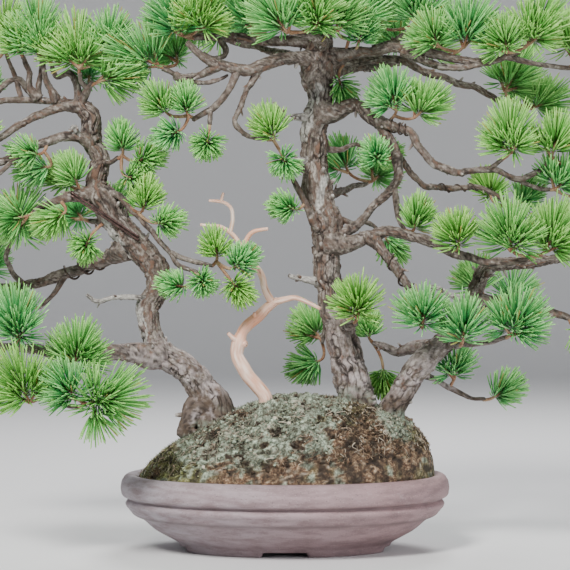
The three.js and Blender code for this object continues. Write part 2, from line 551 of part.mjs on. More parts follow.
const SPRAYS = {
  spray_left_top: {
    twigs: [
      [[-240, 23, 448, 7], [-262, 30, 448, 6.6], [-285, 36, 447, 6.2], [-312, 42, 443, 5]],
      [[-246, 25, 448, 6.5], [-245, 18, 472, 5.5], [-244, 12, 490, 4.5]],
      [[-264, 30, 448, 6], [-270, 34, 472, 5], [-278, 32, 494, 4]],
    ],
    shoots: [
      [[-244, 13, 488], [-246, 6, 502, 95, 30, 36], [-224, -2, 488, 60, 35, 28]],
      [[-277, 32, 492], [-281, 27, 505, 80, 15, 30], [-303, 38, 486, 150, 5, 28]],
      [[-309, 42, 443], [-314, 44, 449, 145, -10, 26], [-300, 58, 455, 95, -35, 24]],
    ],
  },
  spray_left_top_inner: {
    twigs: [
      [[-204, 6, 446, 10], [-198, -2, 459, 8], [-192, -8, 466, 6]],
      [[-198, -3, 460, 6.5], [-204, -8, 468, 5.5], [-206, -12, 476, 4.5]],
    ],
    shoots: [
      [[-206, -11, 475], [-206, -16, 486, 95, 5, 34], [-177, -16, 500, 80, 20, 28]],
      [[-193, -7, 464], [-183, -14, 468, 15, 20, 30], [-196, 14, 470, 90, -45, 24]],
    ],
  },
  spray_left_edge_upper: {
    shoots: [[[-308, -28, 399], [-316, -30, 400, 170, 10, 26], [-300, -38, 412, 100, 40, 22]]],
  },
  spray_left_high_under: {
    shoots: [
      [[-238, -13, 407], [-247, -22, 395, 175, 20, 20], [-237, -8, 382, 190, 5, 24]],
    ],
  },
  spray_left_edge_high: {
    twigs: [[[-266, -25, 393, 6], [-285, -42, 377, 5], [-304, -54, 366, 4]]],
    shoots: [[[-302, -53, 367], [-308, -60, 366, 190, 40, 24]]],
  },
  spray_left_edge_high_end: {
    shoots: [[[-309, -36, 378], [-317, -37, 377, 180, 0, 26]]],
  },
  spray_left_inner: {
    twigs: [[[-185, 12, 388, 7], [-176, 0, 385, 5], [-166, -8, 391, 4]]],
    shoots: [
      [
        [-167, -8, 390], [-162, -11, 398, 95, 20, 20], [-147, -16, 388, 15, 35, 22],
        [-158, -14, 372, -10, 35, 20],
      ],
    ],
  },
  spray_left_middle_top: {
    shoots: [[[-204, 0, 356], [-208, -3, 366, 115, 10, 22], [-216, 22, 366, 120, -40, 26]]],
  },
  spray_left_middle_end: {
    twigs: [[[-216, -9, 353, 10], [-238, -22, 345, 7.5], [-252, -29, 337, 5]]],
    shoots: [
      [[-250, -28, 338], [-262, -32, 332, 185, 15, 28]],
      [[-226, -15, 349], [-222, -26, 335, 215, 20, 24]],
    ],
  },
  spray_left_middle_low: {
    shoots: [[[-176, 4, 330], [-197, -18, 308, -100, 55, 20]]],
  },
  spray_left_sweep: {
    twigs: [
      [
        [-184, 8, 352, 9], [-168, -8, 354, 7], [-155, -15, 340, 6.5], [-135, -24, 319, 6],
        [-117, -30, 299, 6], [-104, -34, 284, 5], [-88, -38, 276, 4.5],
      ],
      [[-114, -31, 296, 5.5], [-92, -35, 288, 4.8], [-72, -38, 283, 4.2]],
    ],
    shoots: [
      [[-158, -14, 344], [-142, -26, 340, 75, 20, 22], [-127, -32, 326, 5, 30, 20]],
      [
        [-73, -38, 283], [-68, -39, 292, 100, 25, 20], [-50, -42, 282, 40, 30, 20],
        [-52, -46, 266, -50, 35, 20],
      ],
      [[-90, -38, 277], [-84, -46, 270, -60, 65, 18], [-101, -42, 262, 170, 25, 18]],
    ],
  },
  spray_left_back: {
    twigs: [
      [[-252, 55, 265, 10], [-285, 66, 262, 8], [-316, 75, 266, 5.5]],
      [[-262, 58, 264, 7], [-280, 42, 288, 5.5], [-275, 24, 308, 4.5]],
    ],
    shoots: [
      [[-275, 25, 307], [-272, 18, 318, 60, 25, 32], [-292, 30, 306, 160, 0, 28]],
      [[-313, 74, 265], [-314, 77, 272, 125, -10, 28], [-296, 86, 280, 80, -40, 26]],
    ],
  },
  spray_left_back_strand: {
    twigs: [[[-218, 41, 273, 7], [-228, 42, 258, 5.5], [-247, 45, 240, 4.5]]],
    shoots: [[[-246, 45, 241], [-258, 48, 242, 170, 0, 24]]],
  },
  spray_left_rear: {
    shoots: [[[-194, 111, 327], [-204, 120, 332, 130, -45, 28], [-176, 116, 336, 60, -30, 26]]],
  },
  spray_low_left_end: {
    twigs: [[[-255, -63, 200, 9], [-290, -72, 204, 7.5], [-316, -80, 210, 5.5]]],
    shoots: [
      [[-313, -79, 209], [-317, -83, 216, 140, 10, 30]],
      [[-282, -70, 202], [-287, -82, 188, 215, 30, 24]],
      [[-268, -67, 203], [-267, -78, 213, 95, 30, 36]],
    ],
  },
  spray_low_left_front: {
    twigs: [
      [
        [-205, -46, 196, 9], [-222, -66, 180, 6.5], [-232, -86, 158, 5.5], [-222, -96, 145, 5],
        [-206, -102, 142, 4.5],
      ],
      [[-232, -84, 160, 5.5], [-246, -96, 151, 4.5]],
    ],
    shoots: [
      [[-222, -64, 181], [-210, -72, 185, 75, 30, 32]],
      [[-209, -101, 142], [-190, -112, 147, 15, 40, 40], [-210, -112, 152, 120, 45, 30]],
      [[-244, -95, 152], [-257, -108, 150, 110, 35, 38]],
    ],
  },
  spray_crown_far_left: {
    shoots: [[[-120, -11, 480], [-131, -14, 485, 155, 25, 38], [-108, 14, 490, 110, -40, 26]]],
  },
  spray_crown_left_end: {
    shoots: [
      [
        [-89, -16, 511], [-106, -22, 518, 110, 25, 36], [-86, -34, 524, 80, 30, 32],
        [-82, 16, 522, 90, -50, 28],
      ],
    ],
  },
  spray_crown_outer: {
    twigs: [
      [
        [-46, -28, 479, 9], [-55, -32, 460, 7.5], [-66, -33, 446, 6.8], [-80, -34, 438, 6],
        [-92, -34, 430, 4.8],
      ],
      [[-76, -34, 440, 5.5], [-75, -36, 424, 4.5]],
    ],
    shoots: [
      [
        [-91, -34, 431], [-98, -36, 437, 95, 30, 20], [-119, -32, 437, 130, 30, 24],
        [-106, -38, 418, 205, 35, 20],
      ],
      [[-75, -36, 425], [-77, -44, 410, -90, 55, 20]],
    ],
  },
  spray_crown_left_top: {
    shoots: [
      [
        [-20, -1, 509], [-34, -14, 524, 105, 20, 38], [-8, -22, 530, 75, 30, 32],
        [-32, 28, 528, 100, -35, 34],
      ],
    ],
  },
  spray_crown_hanging: {
    shoots: [[[-18, -14, 409], [-11, -16, 412, 115, 25, 24], [-2, -18, 392, -70, 50, 20]]],
  },
  spray_crown_front: {
    shoots: [[[8, -87, 516], [0, -94, 520, 130, 25, 32], [30, -84, 526, 80, 40, 32]]],
  },
  spray_crown_apex: {
    twigs: [
      [[36, 13, 541, 13], [34, 13, 550, 11], [37, 11, 563, 7]],
      [[35, 13, 549, 9], [10, 10, 557, 6], [-6, 8, 560, 5]],
      [[35, 13, 549, 9], [60, 14, 554, 6], [78, 12, 557, 5]],
    ],
    shoots: [
      [
        [37, 11, 562], [38, 8, 571, 85, 5, 36], [30, -26, 560, 100, 40, 34],
        [46, 44, 560, 80, -45, 29],
      ],
      [[-5, 8, 560], [-14, 8, 564, 135, 5, 34], [8, -2, 570, 100, 20, 29]],
      [[77, 12, 557], [86, 11, 562, 45, 0, 34], [64, 0, 568, 80, 20, 29]],
    ],
  },
  spray_crown_middle: {
    shoots: [[[60, 2, 494], [68, -12, 526, 75, 20, 38], [52, -38, 522, 95, 45, 32]]],
  },
  spray_crown_rear_left: {
    shoots: [[[-52, 111, 508], [-62, 118, 514, 130, -35, 29], [-30, 114, 520, 80, -25, 29]]],
  },
  spray_crown_rear_right: {
    shoots: [[[136, 107, 490], [146, 114, 496, 50, -35, 29], [114, 104, 506, 100, -25, 29]]],
  },
  spray_crown_right_top: {
    shoots: [[[127, 4, 520], [132, 3, 529, 80, 20, 36], [96, 12, 526, 110, -20, 29]]],
  },
  spray_crown_right_front: {
    shoots: [
      [[160, -23, 494], [180, -34, 506, 75, 25, 36], [152, -32, 506, 120, 40, 26]],
    ],
  },
  spray_crown_right_end: {
    twigs: [
      [[200, -30, 485, 7.5], [226, -34, 495, 5.5], [240, -34, 502, 4.5]],
      [[220, -33, 492, 6], [254, -32, 486, 5.5], [286, -26, 482, 4.5]],
    ],
    shoots: [
      [[239, -34, 501], [246, -36, 509, 65, 20, 36], [222, -44, 500, 110, 40, 26]],
      [[284, -26, 482], [296, -28, 486, 20, 10, 32], [286, -14, 498, 80, -30, 30]],
    ],
  },
  spray_crown_right_rear: {
    shoots: [
      [
        [240, 57, 440], [250, 56, 442, 25, 10, 29], [222, 48, 462, 60, -5, 34],
        [238, 76, 458, 70, -45, 28],
      ],
    ],
  },
  spray_mid_right_top: {
    shoots: [[[98, -17, 424], [111, -26, 443, 110, 25, 28], [133, -32, 434, 45, 25, 28]]],
  },
  spray_mid_right_inner: {
    shoots: [[[111, -22, 397], [94, -30, 388, 120, 50, 20]]],
  },
  spray_mid_right_down: {
    twigs: [[[110, -17, 362, 7], [111, -12, 348, 6.5], [114, -9, 330, 5], [121, -10, 318, 4.2]]],
    shoots: [[[120, -10, 319], [129, -14, 320, 75, 20, 24]]],
  },
  spray_mid_right_far: {
    twigs: [
      [
        [176, -46, 377, 7.4], [208, -50, 379, 6.6], [233, -50, 369, 6], [254, -50, 378, 5],
        [264, -50, 388, 4.2],
      ],
      [[204, -50, 379, 6], [216, -55, 389, 4.8]],
      [[224, -50, 372, 5.5], [250, -45, 361, 4.8], [266, -42, 359, 4]],
    ],
    shoots: [
      [[214, -54, 388], [226, -60, 401, 95, 25, 32]],
      [[263, -50, 387], [268, -52, 397, 75, 15, 28], [292, -48, 384, 20, 0, 30]],
      [[265, -42, 359], [273, -43, 362, 50, 20, 26], [292, -30, 352, 0, -10, 28]],
    ],
  },
  spray_mid_right_near: {
    shoots: [[[220, 10, 349], [235, 11, 345, 50, 10, 22], [206, 34, 352, 100, -40, 24]]],
  },
  spray_low_right: {
    twigs: [[[158, -41, 300, 9.4], [202, -50, 287, 8], [226, -54, 286, 6.5], [244, -57, 290, 5]]],
    shoots: [
      [[168, -44, 297], [174, -52, 304, 100, 35, 28]],
      [[243, -57, 290], [262, -64, 301, 70, 25, 34], [226, -64, 302, 100, 30, 36]],
    ],
  },
  spray_low_right_grey: { shoots: [[[137, -61, 238], [138, -72, 224, 90, 45, 30]]] },
  spray_right_trunk_end: {
    shoots: [[[303, 28, 296], [310, 28, 302, 40, -5, 30], [282, 34, 306, 90, -30, 28]]],
  },
  spray_right_lower_end: {
    twigs: [[[262, -17, 238, 9], [288, -23, 231, 7.5], [316, -29, 228, 5.5]]],
    shoots: [
      [[313, -29, 228], [318, -31, 231, 10, 5, 28]],
      [[284, -22, 231], [291, -34, 219, -45, 35, 22]],
    ],
  },
  spray_right_front: {
    twigs: [
      [[156, -12, 203, 9], [180, -38, 205, 6.5], [205, -52, 207, 5.5], [222, -62, 211, 4.8]],
      [[166, -24, 204, 6.5], [172, -48, 202, 5.2], [175, -66, 203, 4.4]],
    ],
    shoots: [[[221, -62, 211], [228, -68, 217, 70, 35, 34]], [[175, -65, 203], [178, -76, 209, 85, 30, 30]]],
  },
  spray_main_front: {
    twigs: [[[54, -4, 226, 12], [62, -28, 222, 7.5], [70, -46, 226, 5.5]]],
    shoots: [[[69, -45, 226], [73, -58, 234, 90, 45, 30]]],
  },
  spray_main_left: {
    twigs: [[[34, -2, 320, 11], [22, -11, 344, 7], [12, -13, 362, 5.6], [7, -12, 374, 4.4]]],
    shoots: [
      [[20, -12, 346], [10, -18, 340, 170, 35, 20]],
    ],
  },
  spray_main_rear_low: {
    shoots: [[[37, 60, 207], [33, 66, 214, 130, -25, 26], [34, 64, 188, 200, 10, 24]]],
  },
  spray_right_inner: {
    shoots: [[[89, 29, 206], [84, 30, 212, 100, 10, 20], [98, 32, 180, -90, 10, 20]]],
  },
  spray_right_low: {
    twigs: [
      [
        [131, -14, 178, 10], [146, -4, 170, 6.5], [166, 8, 160, 5.5], [184, 14, 150, 4.6],
        [200, 18, 149, 3.8],
      ],
    ],
    shoots: [[[198, 18, 149], [209, 20, 152, 35, 10, 24]], [[164, 7, 161], [170, 4, 174, 85, 20, 26]]],
  },
  spray_right_rear: {
    shoots: [[[216, 105, 246], [226, 117, 252, 50, -45, 29], [196, 102, 260, 100, -25, 28]]],
  },
  spray_main_rear_middle: {
    shoots: [[[80, 109, 366], [90, 121, 370, 50, -45, 29], [62, 104, 380, 110, -25, 28]]],
  },
};

const SHOOT_RADIUS = 1.5;
const CORE_RADIUS = 1.75;
const CORE_TIP_LENGTH = 2.4;
const SHOOT_BOW = 0.45; // how far a shoot bows before it meets its tuft, as a part of its reach
const BAND_LENGTH = 4.6;
const NEEDLE_BASE_RADIUS = 1.5;
const REAR_NEEDLE_ANGLE = 100; // from the shoot's own direction, at the tuft's rear
const FRONT_NEEDLE_ANGLE = 36;
const TIP_NEEDLE_ANGLE = 17;
const BAND_TURNS = [-16, 6, -5, 17]; // so that needles of neighbouring bands don't line up
const NEEDLE_TURN_PLAY = 10; // degrees of chance in how a needle is turned
const NEEDLE_ANGLE_PLAY = 9; // and in how far it stands off
const GROUND_CLEARANCE = 8;
const NEEDLE_CLEARANCE = 0.6; // from everything that isn't its own tuft
const TUFTMATE_CLEARANCE = 0.1; // from its own tuft, past the foot where they meet
const NEEDLE_FOOT = 0.3; // the part of a needle's length that counts as its foot
const BEND_STEP = 9;
const BENDS = [
  [0, 0], [1, 0], [-1, 0], [0, 1], [0, -1], [1, 1], [-1, -1], [1, -1], [-1, 1],
  [2, 0], [-2, 0], [0, 2], [0, -2], [2, 2], [-2, -2],
];
const SHORTENINGS = [1, 0.82, 0.64];

function aimOf(angle, tilt) {
  const turn = THREE.MathUtils.degToRad(angle);
  const lean = THREE.MathUtils.degToRad(tilt);
  return new THREE.Vector3(
    Math.cos(turn) * Math.cos(lean),
    -Math.sin(lean),
    Math.sin(turn) * Math.cos(lean),
  );
}

// Stretches that are taken: straight pieces of limb, wire, shoot and needle, each with a radius at
// both ends and an owner. A new needle is bent or shortened until it is clear of them all.

const taken = [];
const WIDEST_LIMB = 30; // more than any two radii together

function take(from, to, fromRadius, toRadius, owner) {
  const middle = from.clone().lerp(to, 0.5);
  taken.push({ from, to, fromRadius, toRadius, owner, middle, half: from.distanceTo(to) / 2 });
}

function takePath(path, owner) {
  for (let place = 0; place + 1 < path.length; place++) {
    const [near, far] = [path[place], path[place + 1]];
    take(near.at, far.at, near.radius, far.radius, owner);
  }
}

// How far two straight stretches stay apart, less both radii where they come closest.
function roomBetween(one, two) {
  const u = new THREE.Vector3().subVectors(one.to, one.from);
  const v = new THREE.Vector3().subVectors(two.to, two.from);
  const w = new THREE.Vector3().subVectors(one.from, two.from);
  const [a, b, c, d, e] = [u.dot(u), u.dot(v), v.dot(v), u.dot(w), v.dot(w)];
  const slant = a * c - b * b;
  let along = slant > 1e-9 ? THREE.MathUtils.clamp((b * e - c * d) / slant, 0, 1) : 0;
  const across = THREE.MathUtils.clamp((b * along + e) / c, 0, 1);
  along = THREE.MathUtils.clamp((b * across - d) / a, 0, 1);
  const onOne = one.from.clone().addScaledVector(u, along);
  const onTwo = two.from.clone().addScaledVector(v, across);
  const radii =
    THREE.MathUtils.lerp(one.fromRadius, one.toRadius, along) +
    THREE.MathUtils.lerp(two.fromRadius, two.toRadius, across);
  return onOne.distanceTo(onTwo) - radii;
}

// A needle's stretch without its foot.
function beyondFoot(needle) {
  return {
    ...needle,
    from: needle.from.clone().lerp(needle.to, NEEDLE_FOOT),
    fromRadius: needle.fromRadius * (1 - NEEDLE_FOOT),
  };
}

function isClear(needle) {
  for (const part of [0.5, 1]) {
    const place = needle.from.clone().lerp(needle.to, part);
    if (place.z < moundHeight(place.x, place.y) + GROUND_CLEARANCE * part) return false;
  }
  const middle = needle.from.clone().lerp(needle.to, 0.5);
  const half = needle.from.distanceTo(needle.to) / 2;
  return taken.every((other) => {
    if (other.middle.distanceTo(middle) > half + other.half + WIDEST_LIMB) return true;
    if (other.owner !== needle.owner) return roomBetween(needle, other) > NEEDLE_CLEARANCE;
    const rest = other.isNeedle ? beyondFoot(other) : other;
    return roomBetween(beyondFoot(needle), rest) > TUFTMATE_CLEARANCE;
  });
}

// One needle stands on a facet of its tuft's core: where it ends, or nothing if it has no room.
function needleEnd(base, direction, turnAxis, length, owner) {
  const tiltAxis = new THREE.Vector3().crossVectors(direction, turnAxis).normalize();
  for (const shortening of SHORTENINGS) {
    for (const [turns, tilts] of BENDS) {
      const bent = direction.clone()
        .applyAxisAngle(turnAxis, THREE.MathUtils.degToRad(turns * BEND_STEP))
        .applyAxisAngle(tiltAxis, THREE.MathUtils.degToRad(tilts * BEND_STEP));
      const end = base.clone().addScaledVector(bent, length * shortening);
      const needle = { from: base, to: end, fromRadius: NEEDLE_BASE_RADIUS, toRadius: 0.1, owner };
      if (isClear(needle)) {
        take(base, end, NEEDLE_BASE_RADIUS, 0.1, owner);
        taken.at(-1).isNeedle = true;
        return end;
      }
    }
  }
  return null;
}

function bandsFor(needleLength) {
  if (needleLength >= 38) return 4;
  return needleLength >= 30 ? 3 : 2;
}

// The path of a shoot: a bow from its root to its tuft, which it meets in the tuft's own direction,
// and then straight on as the tuft's core.
function shootPath(root, tuft) {
  const base = seen(tuft);
  const aim = aimOf(tuft[3], tuft[4]);
  const reach = root.distanceTo(base);
  const elbow = base.clone().addScaledVector(aim, -SHOOT_BOW * reach);
  const bow = new THREE.QuadraticBezierCurve3(root, elbow, base);
  const pieces = reach > 28 ? 2 : 1;
  const path = [];
  for (let piece = 0; piece < pieces; piece++) {
    path.push({ at: bow.getPoint(piece / pieces), radius: SHOOT_RADIUS });
  }
  const bands = bandsFor(tuft[5]);
  for (let band = 0; band <= bands; band++) {
    const radius = CORE_RADIUS * (1 - 0.35 * (band / bands));
    path.push({ at: base.clone().addScaledVector(aim, band * BAND_LENGTH), radius });
  }
  return { path, pieces, bands, aim };
}

// A shoot with its tuft, in one closed body: rings of three corners, each turned a sixth of a turn
// from the last, so that the core has small facets all round, and a needle stands on each facet.
function tuftSolid(shoot, needleLength, owner, number) {
  const { path, pieces, bands, aim } = shoot;
  const directions = directionsAlong(path);
  const sideways = sidewaysAlong(directions);
  const points = [];
  path.forEach(({ at, radius }, place) => {
    const other = new THREE.Vector3().crossVectors(directions[place], sideways[place]);
    for (let corner = 0; corner < 3; corner++) {
      const angle = (Math.PI / 3) * (place + 2 * corner);
      points.push(
        at.clone()
          .addScaledVector(sideways[place], radius * Math.cos(angle))
          .addScaledVector(other, radius * Math.sin(angle)),
      );
    }
  });
  const tip = path.at(-1).at.clone().addScaledVector(aim, CORE_TIP_LENGTH);
  points.push(tip);
  const tipPlace = points.length - 1;
  const at = (place, corner) => place * 3 + (corner % 3);
  const triangles = [[at(0, 0), at(0, 2), at(0, 1)]];

  const facet = (corners, angleFromAim, turn, keys) => {
    const [a, b, c] = corners;
    const middle = points[a].clone().add(points[b]).add(points[c]).divideScalar(3);
    const out = middle.clone().sub(path[pieces].at);
    out.addScaledVector(aim, -out.dot(aim)).normalize();
    const turned = turn + NEEDLE_TURN_PLAY * (chance(...keys, 1) - 0.5);
    out.applyAxisAngle(aim, THREE.MathUtils.degToRad(turned));
    const stoodOff = angleFromAim + NEEDLE_ANGLE_PLAY * (chance(...keys, 2) - 0.5);
    const angle = THREE.MathUtils.degToRad(stoodOff);
    const direction = aim.clone().multiplyScalar(Math.cos(angle)).addScaledVector(out, Math.sin(angle));
    const length = needleLength * (0.88 + 0.2 * chance(...keys, 3));
    const end = needleEnd(middle, direction, aim, length, owner);
    if (end === null) {
      triangles.push(corners);
      return;
    }
    points.push(end);
    const apex = points.length - 1;
    triangles.push([a, b, apex], [b, c, apex], [c, a, apex]);
  };

  for (let place = 0; place + 1 < path.length; place++) {
    const band = place - pieces;
    for (let corner = 0; corner < 3; corner++) {
      const lower = [at(place, corner), at(place, corner + 1), at(place + 1, corner)];
      const upper = [at(place + 1, corner), at(place, corner + 1), at(place + 1, corner + 1)];
      if (band < 0) {
        triangles.push(lower, upper);
        continue;
      }
      const angleAt = (part) =>
        THREE.MathUtils.lerp(REAR_NEEDLE_ANGLE, FRONT_NEEDLE_ANGLE, (band + part) / bands);
      const turn = BAND_TURNS[band % BAND_TURNS.length];
      if (band === 0) triangles.push(lower);
      else facet(lower, angleAt(0.3), turn, [number, band, corner, 0]);
      facet(upper, angleAt(0.7), turn, [number, band, corner, 1]);
    }
  }
  const last = path.length - 1;
  for (let corner = 0; corner < 3; corner++) {
    const corners = [at(last, corner), at(last, corner + 1), tipPlace];
    facet(corners, TIP_NEEDLE_ANGLE, 0, [number, bands, corner, 2]);
  }
  return solidFrom(points, triangles);
}

// The shoots of one row: the first from the wood, and each other from the middle of the first.
function shootsOf([root, firstTuft, ...otherTufts]) {
  const first = shootPath(seen(root), firstTuft);
  const [start, next] = first.path;
  const fork = first.pieces > 1 ? next.at : start.at.clone().lerp(next.at, 0.5);
  return [first, ...otherTufts.map((tuft) => shootPath(fork, tuft))];
}

function spraySolids(fatWood) {
  for (const rows of [...Object.values(TRUNKS), ...Object.values(BRANCHES)]) {
    const fattened = limbPath(rows, 17).map(({ at, radius }) => ({ at, radius: radius * 1.1 + 0.4 }));
    takePath(fattened, 'wood');
  }
  for (const rows of Object.values(BARE_STEM)) takePath(limbPath(rows, 14), 'bare stem');
  for (const coil of Object.values(COILS)) takePath(coilPath(coil), 'coil');
  for (const ends of Object.values(RODS)) takePath(rodPath(ends), 'rod');
  const sprays = Object.entries(SPRAYS).map(([name, { twigs = [], shoots }]) => {
    for (const rows of twigs) takePath(limbPath(rows, 17), name);
    const tufted = shoots.flatMap((row) => {
      const [, ...tufts] = row;
      return shootsOf(row).map((shoot, place) => ({ shoot, length: tufts[place][5] }));
    });
    tufted.forEach(({ shoot }, place) => takePath(shoot.path, `${name} ${place}`));
    return { name, twigs, tufted };
  });
  let number = 0;
  return sprays.map(({ name, twigs, tufted }) => {
    const tufts = tufted.map(({ shoot, length }, place) => {
      number += 1;
      return tuftSolid(shoot, length, `${name} ${place}`, number);
    });
    const wood = twigs.map((rows, seed) => branchTube(rows, seed, 0));
    return [name, largestBody(joined([...wood, ...tufts]).subtract(fatWood))];
  });
}

// The object: one mesh for each piece

const bonsai = new THREE.Group();
bonsai.name = 'root_connected_white_pine';

function addPiece(name, solid, material) {
  const mesh = new THREE.Mesh(geometryOf(tidied(solid)), material);
  mesh.name = name;
  bonsai.add(mesh);
}

function finish(color, roughness, metalness = 0) {
  return new THREE.MeshStandardMaterial({ color, roughness, metalness, flatShading: true });
}

const clay = finish(0x8e7a80, 0.75);
const screenPlastic = finish(0x2c2f2c, 0.6);
const mossyGrit = finish(0x77745a, 1);
const bark = finish(0x75685f, 0.9);
const bareWood = finish(0xd9a483, 0.6);
const wire = finish(0x4a4442, 0.45, 0.9);
const needleGreen = finish(0x7fa05a, 0.55);

const looseWood = joined([woodSolid(WOOD_FIT), bareStemSolid(WOOD_FIT)]);
const touchingWood = woodSolid(TOUCH);

addPiece('pot', potSolid(), clay);
addPiece('drain_screen_left', screenSolid(-1), screenPlastic);
addPiece('drain_screen_right', screenSolid(1), screenPlastic);
addPiece('soil_mound', largestBody(moundSolid().subtract(looseWood)), mossyGrit);
addPiece('pine_wood', woodSolid(), bark);
addPiece('bare_stem', bareStemSolid().subtract(touchingWood), bareWood);
for (const [name, coil] of Object.entries(COILS)) addPiece(name, tubeAlong(coilPath(coil), 4), wire);
for (const [name, ends] of Object.entries(RODS)) addPiece(name, tubeAlong(rodPath(ends), 6), wire);
for (const [name, spray] of spraySolids(touchingWood)) addPiece(name, spray, needleGreen);

export default bonsai;
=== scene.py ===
# %% [markdown]
# # A root-connected white pine in an oval clay pot
#
# One old root carries a left, a main and a right trunk, and a bare dead stem stands between them.
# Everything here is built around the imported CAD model, which fixes the sizes and the places. The
# big forms are surfaces over two parameters: how far along a limb, and how far round it. numpy works
# them out as whole arrays, which is quick enough for several hundred thousand points.

# %% Load the frame
import itertools

import bpy
import numpy as np
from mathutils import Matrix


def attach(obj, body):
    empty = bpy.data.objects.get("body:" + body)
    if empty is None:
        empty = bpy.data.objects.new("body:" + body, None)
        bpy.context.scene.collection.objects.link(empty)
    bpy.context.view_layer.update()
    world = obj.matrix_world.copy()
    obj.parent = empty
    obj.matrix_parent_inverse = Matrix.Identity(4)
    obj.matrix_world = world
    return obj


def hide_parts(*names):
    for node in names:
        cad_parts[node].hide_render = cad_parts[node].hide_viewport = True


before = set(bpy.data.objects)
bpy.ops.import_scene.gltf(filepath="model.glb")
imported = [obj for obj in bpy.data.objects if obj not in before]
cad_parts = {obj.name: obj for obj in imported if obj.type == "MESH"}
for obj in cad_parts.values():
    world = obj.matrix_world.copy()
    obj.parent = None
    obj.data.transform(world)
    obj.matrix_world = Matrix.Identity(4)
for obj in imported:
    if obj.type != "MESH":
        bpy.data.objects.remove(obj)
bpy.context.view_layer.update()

# %% [markdown]
# ## Where the tree is seen from
#
# The tree is looked at level, from 1.9 m in front of the pot and 264 mm up. A lens of 120 mm on a
# film 36 mm wide then shows 570 mm of the tree, so a millimetre at the pot's middle is one pixel.
# The tables further down give places as they are seen from there, because that is how one reads
# them off a tree: how far across, how far back, how high. seen() takes the distance out of them.

# %% Eye, camera and places in millimetres
MM = 0.001
EYE_DISTANCE = 1900
EYE_HEIGHT = 264


def seen(rows):
    """Real places in mm: across and height above the eye grow by 1 + back / 1900."""
    rows = np.asarray(rows, float)
    farther = 1 + rows[:, 1] / EYE_DISTANCE
    height = EYE_HEIGHT + (rows[:, 2] - EYE_HEIGHT) * farther
    return np.stack([rows[:, 0] * farther, rows[:, 1], height], axis=1)


LENS, FILM_WIDTH = 120, 36


def add_camera():
    camera = bpy.data.objects.new("camera", bpy.data.cameras.new("camera"))
    camera.location = (0, -EYE_DISTANCE * MM, EYE_HEIGHT * MM)
    camera.rotation_euler = (np.pi / 2, 0, 0)
    camera.data.lens = LENS
    camera.data.sensor_width = FILM_WIDTH
    camera.data.clip_end = 20
    bpy.context.scene.collection.objects.link(camera)
    bpy.context.scene.camera = camera


add_camera()

# %% [markdown]
# ## A plain studio
#
# The floor is a wide pale dish: flat under the tree, and far away it curves up all round, so that
# there is no edge to look at from any side. Three large area lights are enough: a key light from the
# front left and above, which gives the bark its relief, a weak one from the right that keeps the
# shadows open, and one from above and behind that lights the needles' tips. An area light is soft in
# proportion to its size.
#
# Meshes are filled with foreach_set, which takes whole arrays, where a loop over faces would take
# minutes. Surfaces are rings of points with quads between them and a pole at an end.

# %% Floor and lights
FLOOR_FLAT_RADIUS, FLOOR_CURVE, FLOOR_COLUMNS = 3.6, 1.6, 96
FLOOR_COLOR, FLOOR_ROUGHNESS = (0.74, 0.74, 0.75, 1), 0.9


def round_angles(count):
    """2 pi k / count for k = 0 .. count - 1."""
    return np.linspace(0, 2 * np.pi, count, endpoint=False)


def ring_faces(rings, columns):
    """Quads between closed rings of points, ring after ring, that face away from the axis when the
    columns run anticlockwise round the way the rings follow each other."""
    ring, column = np.meshgrid(np.arange(rings - 1), np.arange(columns), indexing="ij")
    here = (ring * columns + column).ravel()
    beside = (ring * columns + (column + 1) % columns).ravel()
    return np.stack([here, beside, beside + columns, here + columns], axis=1)


def cap_faces(first, columns, pole, outward):
    """A fan of triangles from a ring's points to one pole, facing along the rings or against them."""
    column = np.arange(columns)
    here = first + column
    beside = first + (column + 1) % columns
    pair = (here, beside) if outward else (beside, here)
    return np.stack([*pair, np.full(columns, pole), np.full(columns, -1)], axis=1)


def mesh_from(name, points, faces):
    """Points in m, and faces of four corners where a triangle's last corner is -1."""
    corners = faces.ravel()
    corners = corners[corners >= 0]
    sizes = np.where(faces[:, 3] < 0, 3, 4)
    mesh = bpy.data.meshes.new(name)
    mesh.vertices.add(len(points))
    mesh.vertices.foreach_set("co", points.astype(np.float32).ravel())
    mesh.loops.add(len(corners))
    mesh.loops.foreach_set("vertex_index", corners.astype(np.int32))
    mesh.polygons.add(len(faces))
    mesh.polygons.foreach_set("loop_start", (np.cumsum(sizes) - sizes).astype(np.int32))
    mesh.update(calc_edges=True)
    mesh.shade_smooth()
    return mesh


def add_object(name, mesh, materials):
    for material in materials:
        mesh.materials.append(material)
    made = bpy.data.objects.new(name, mesh)
    bpy.context.scene.collection.objects.link(made)
    return made


def new_material(name, roughness):
    material = bpy.data.materials.new(name)
    material.use_nodes = True
    shader = material.node_tree.nodes["Principled BSDF"]
    shader.inputs["Roughness"].default_value = roughness
    return material, shader


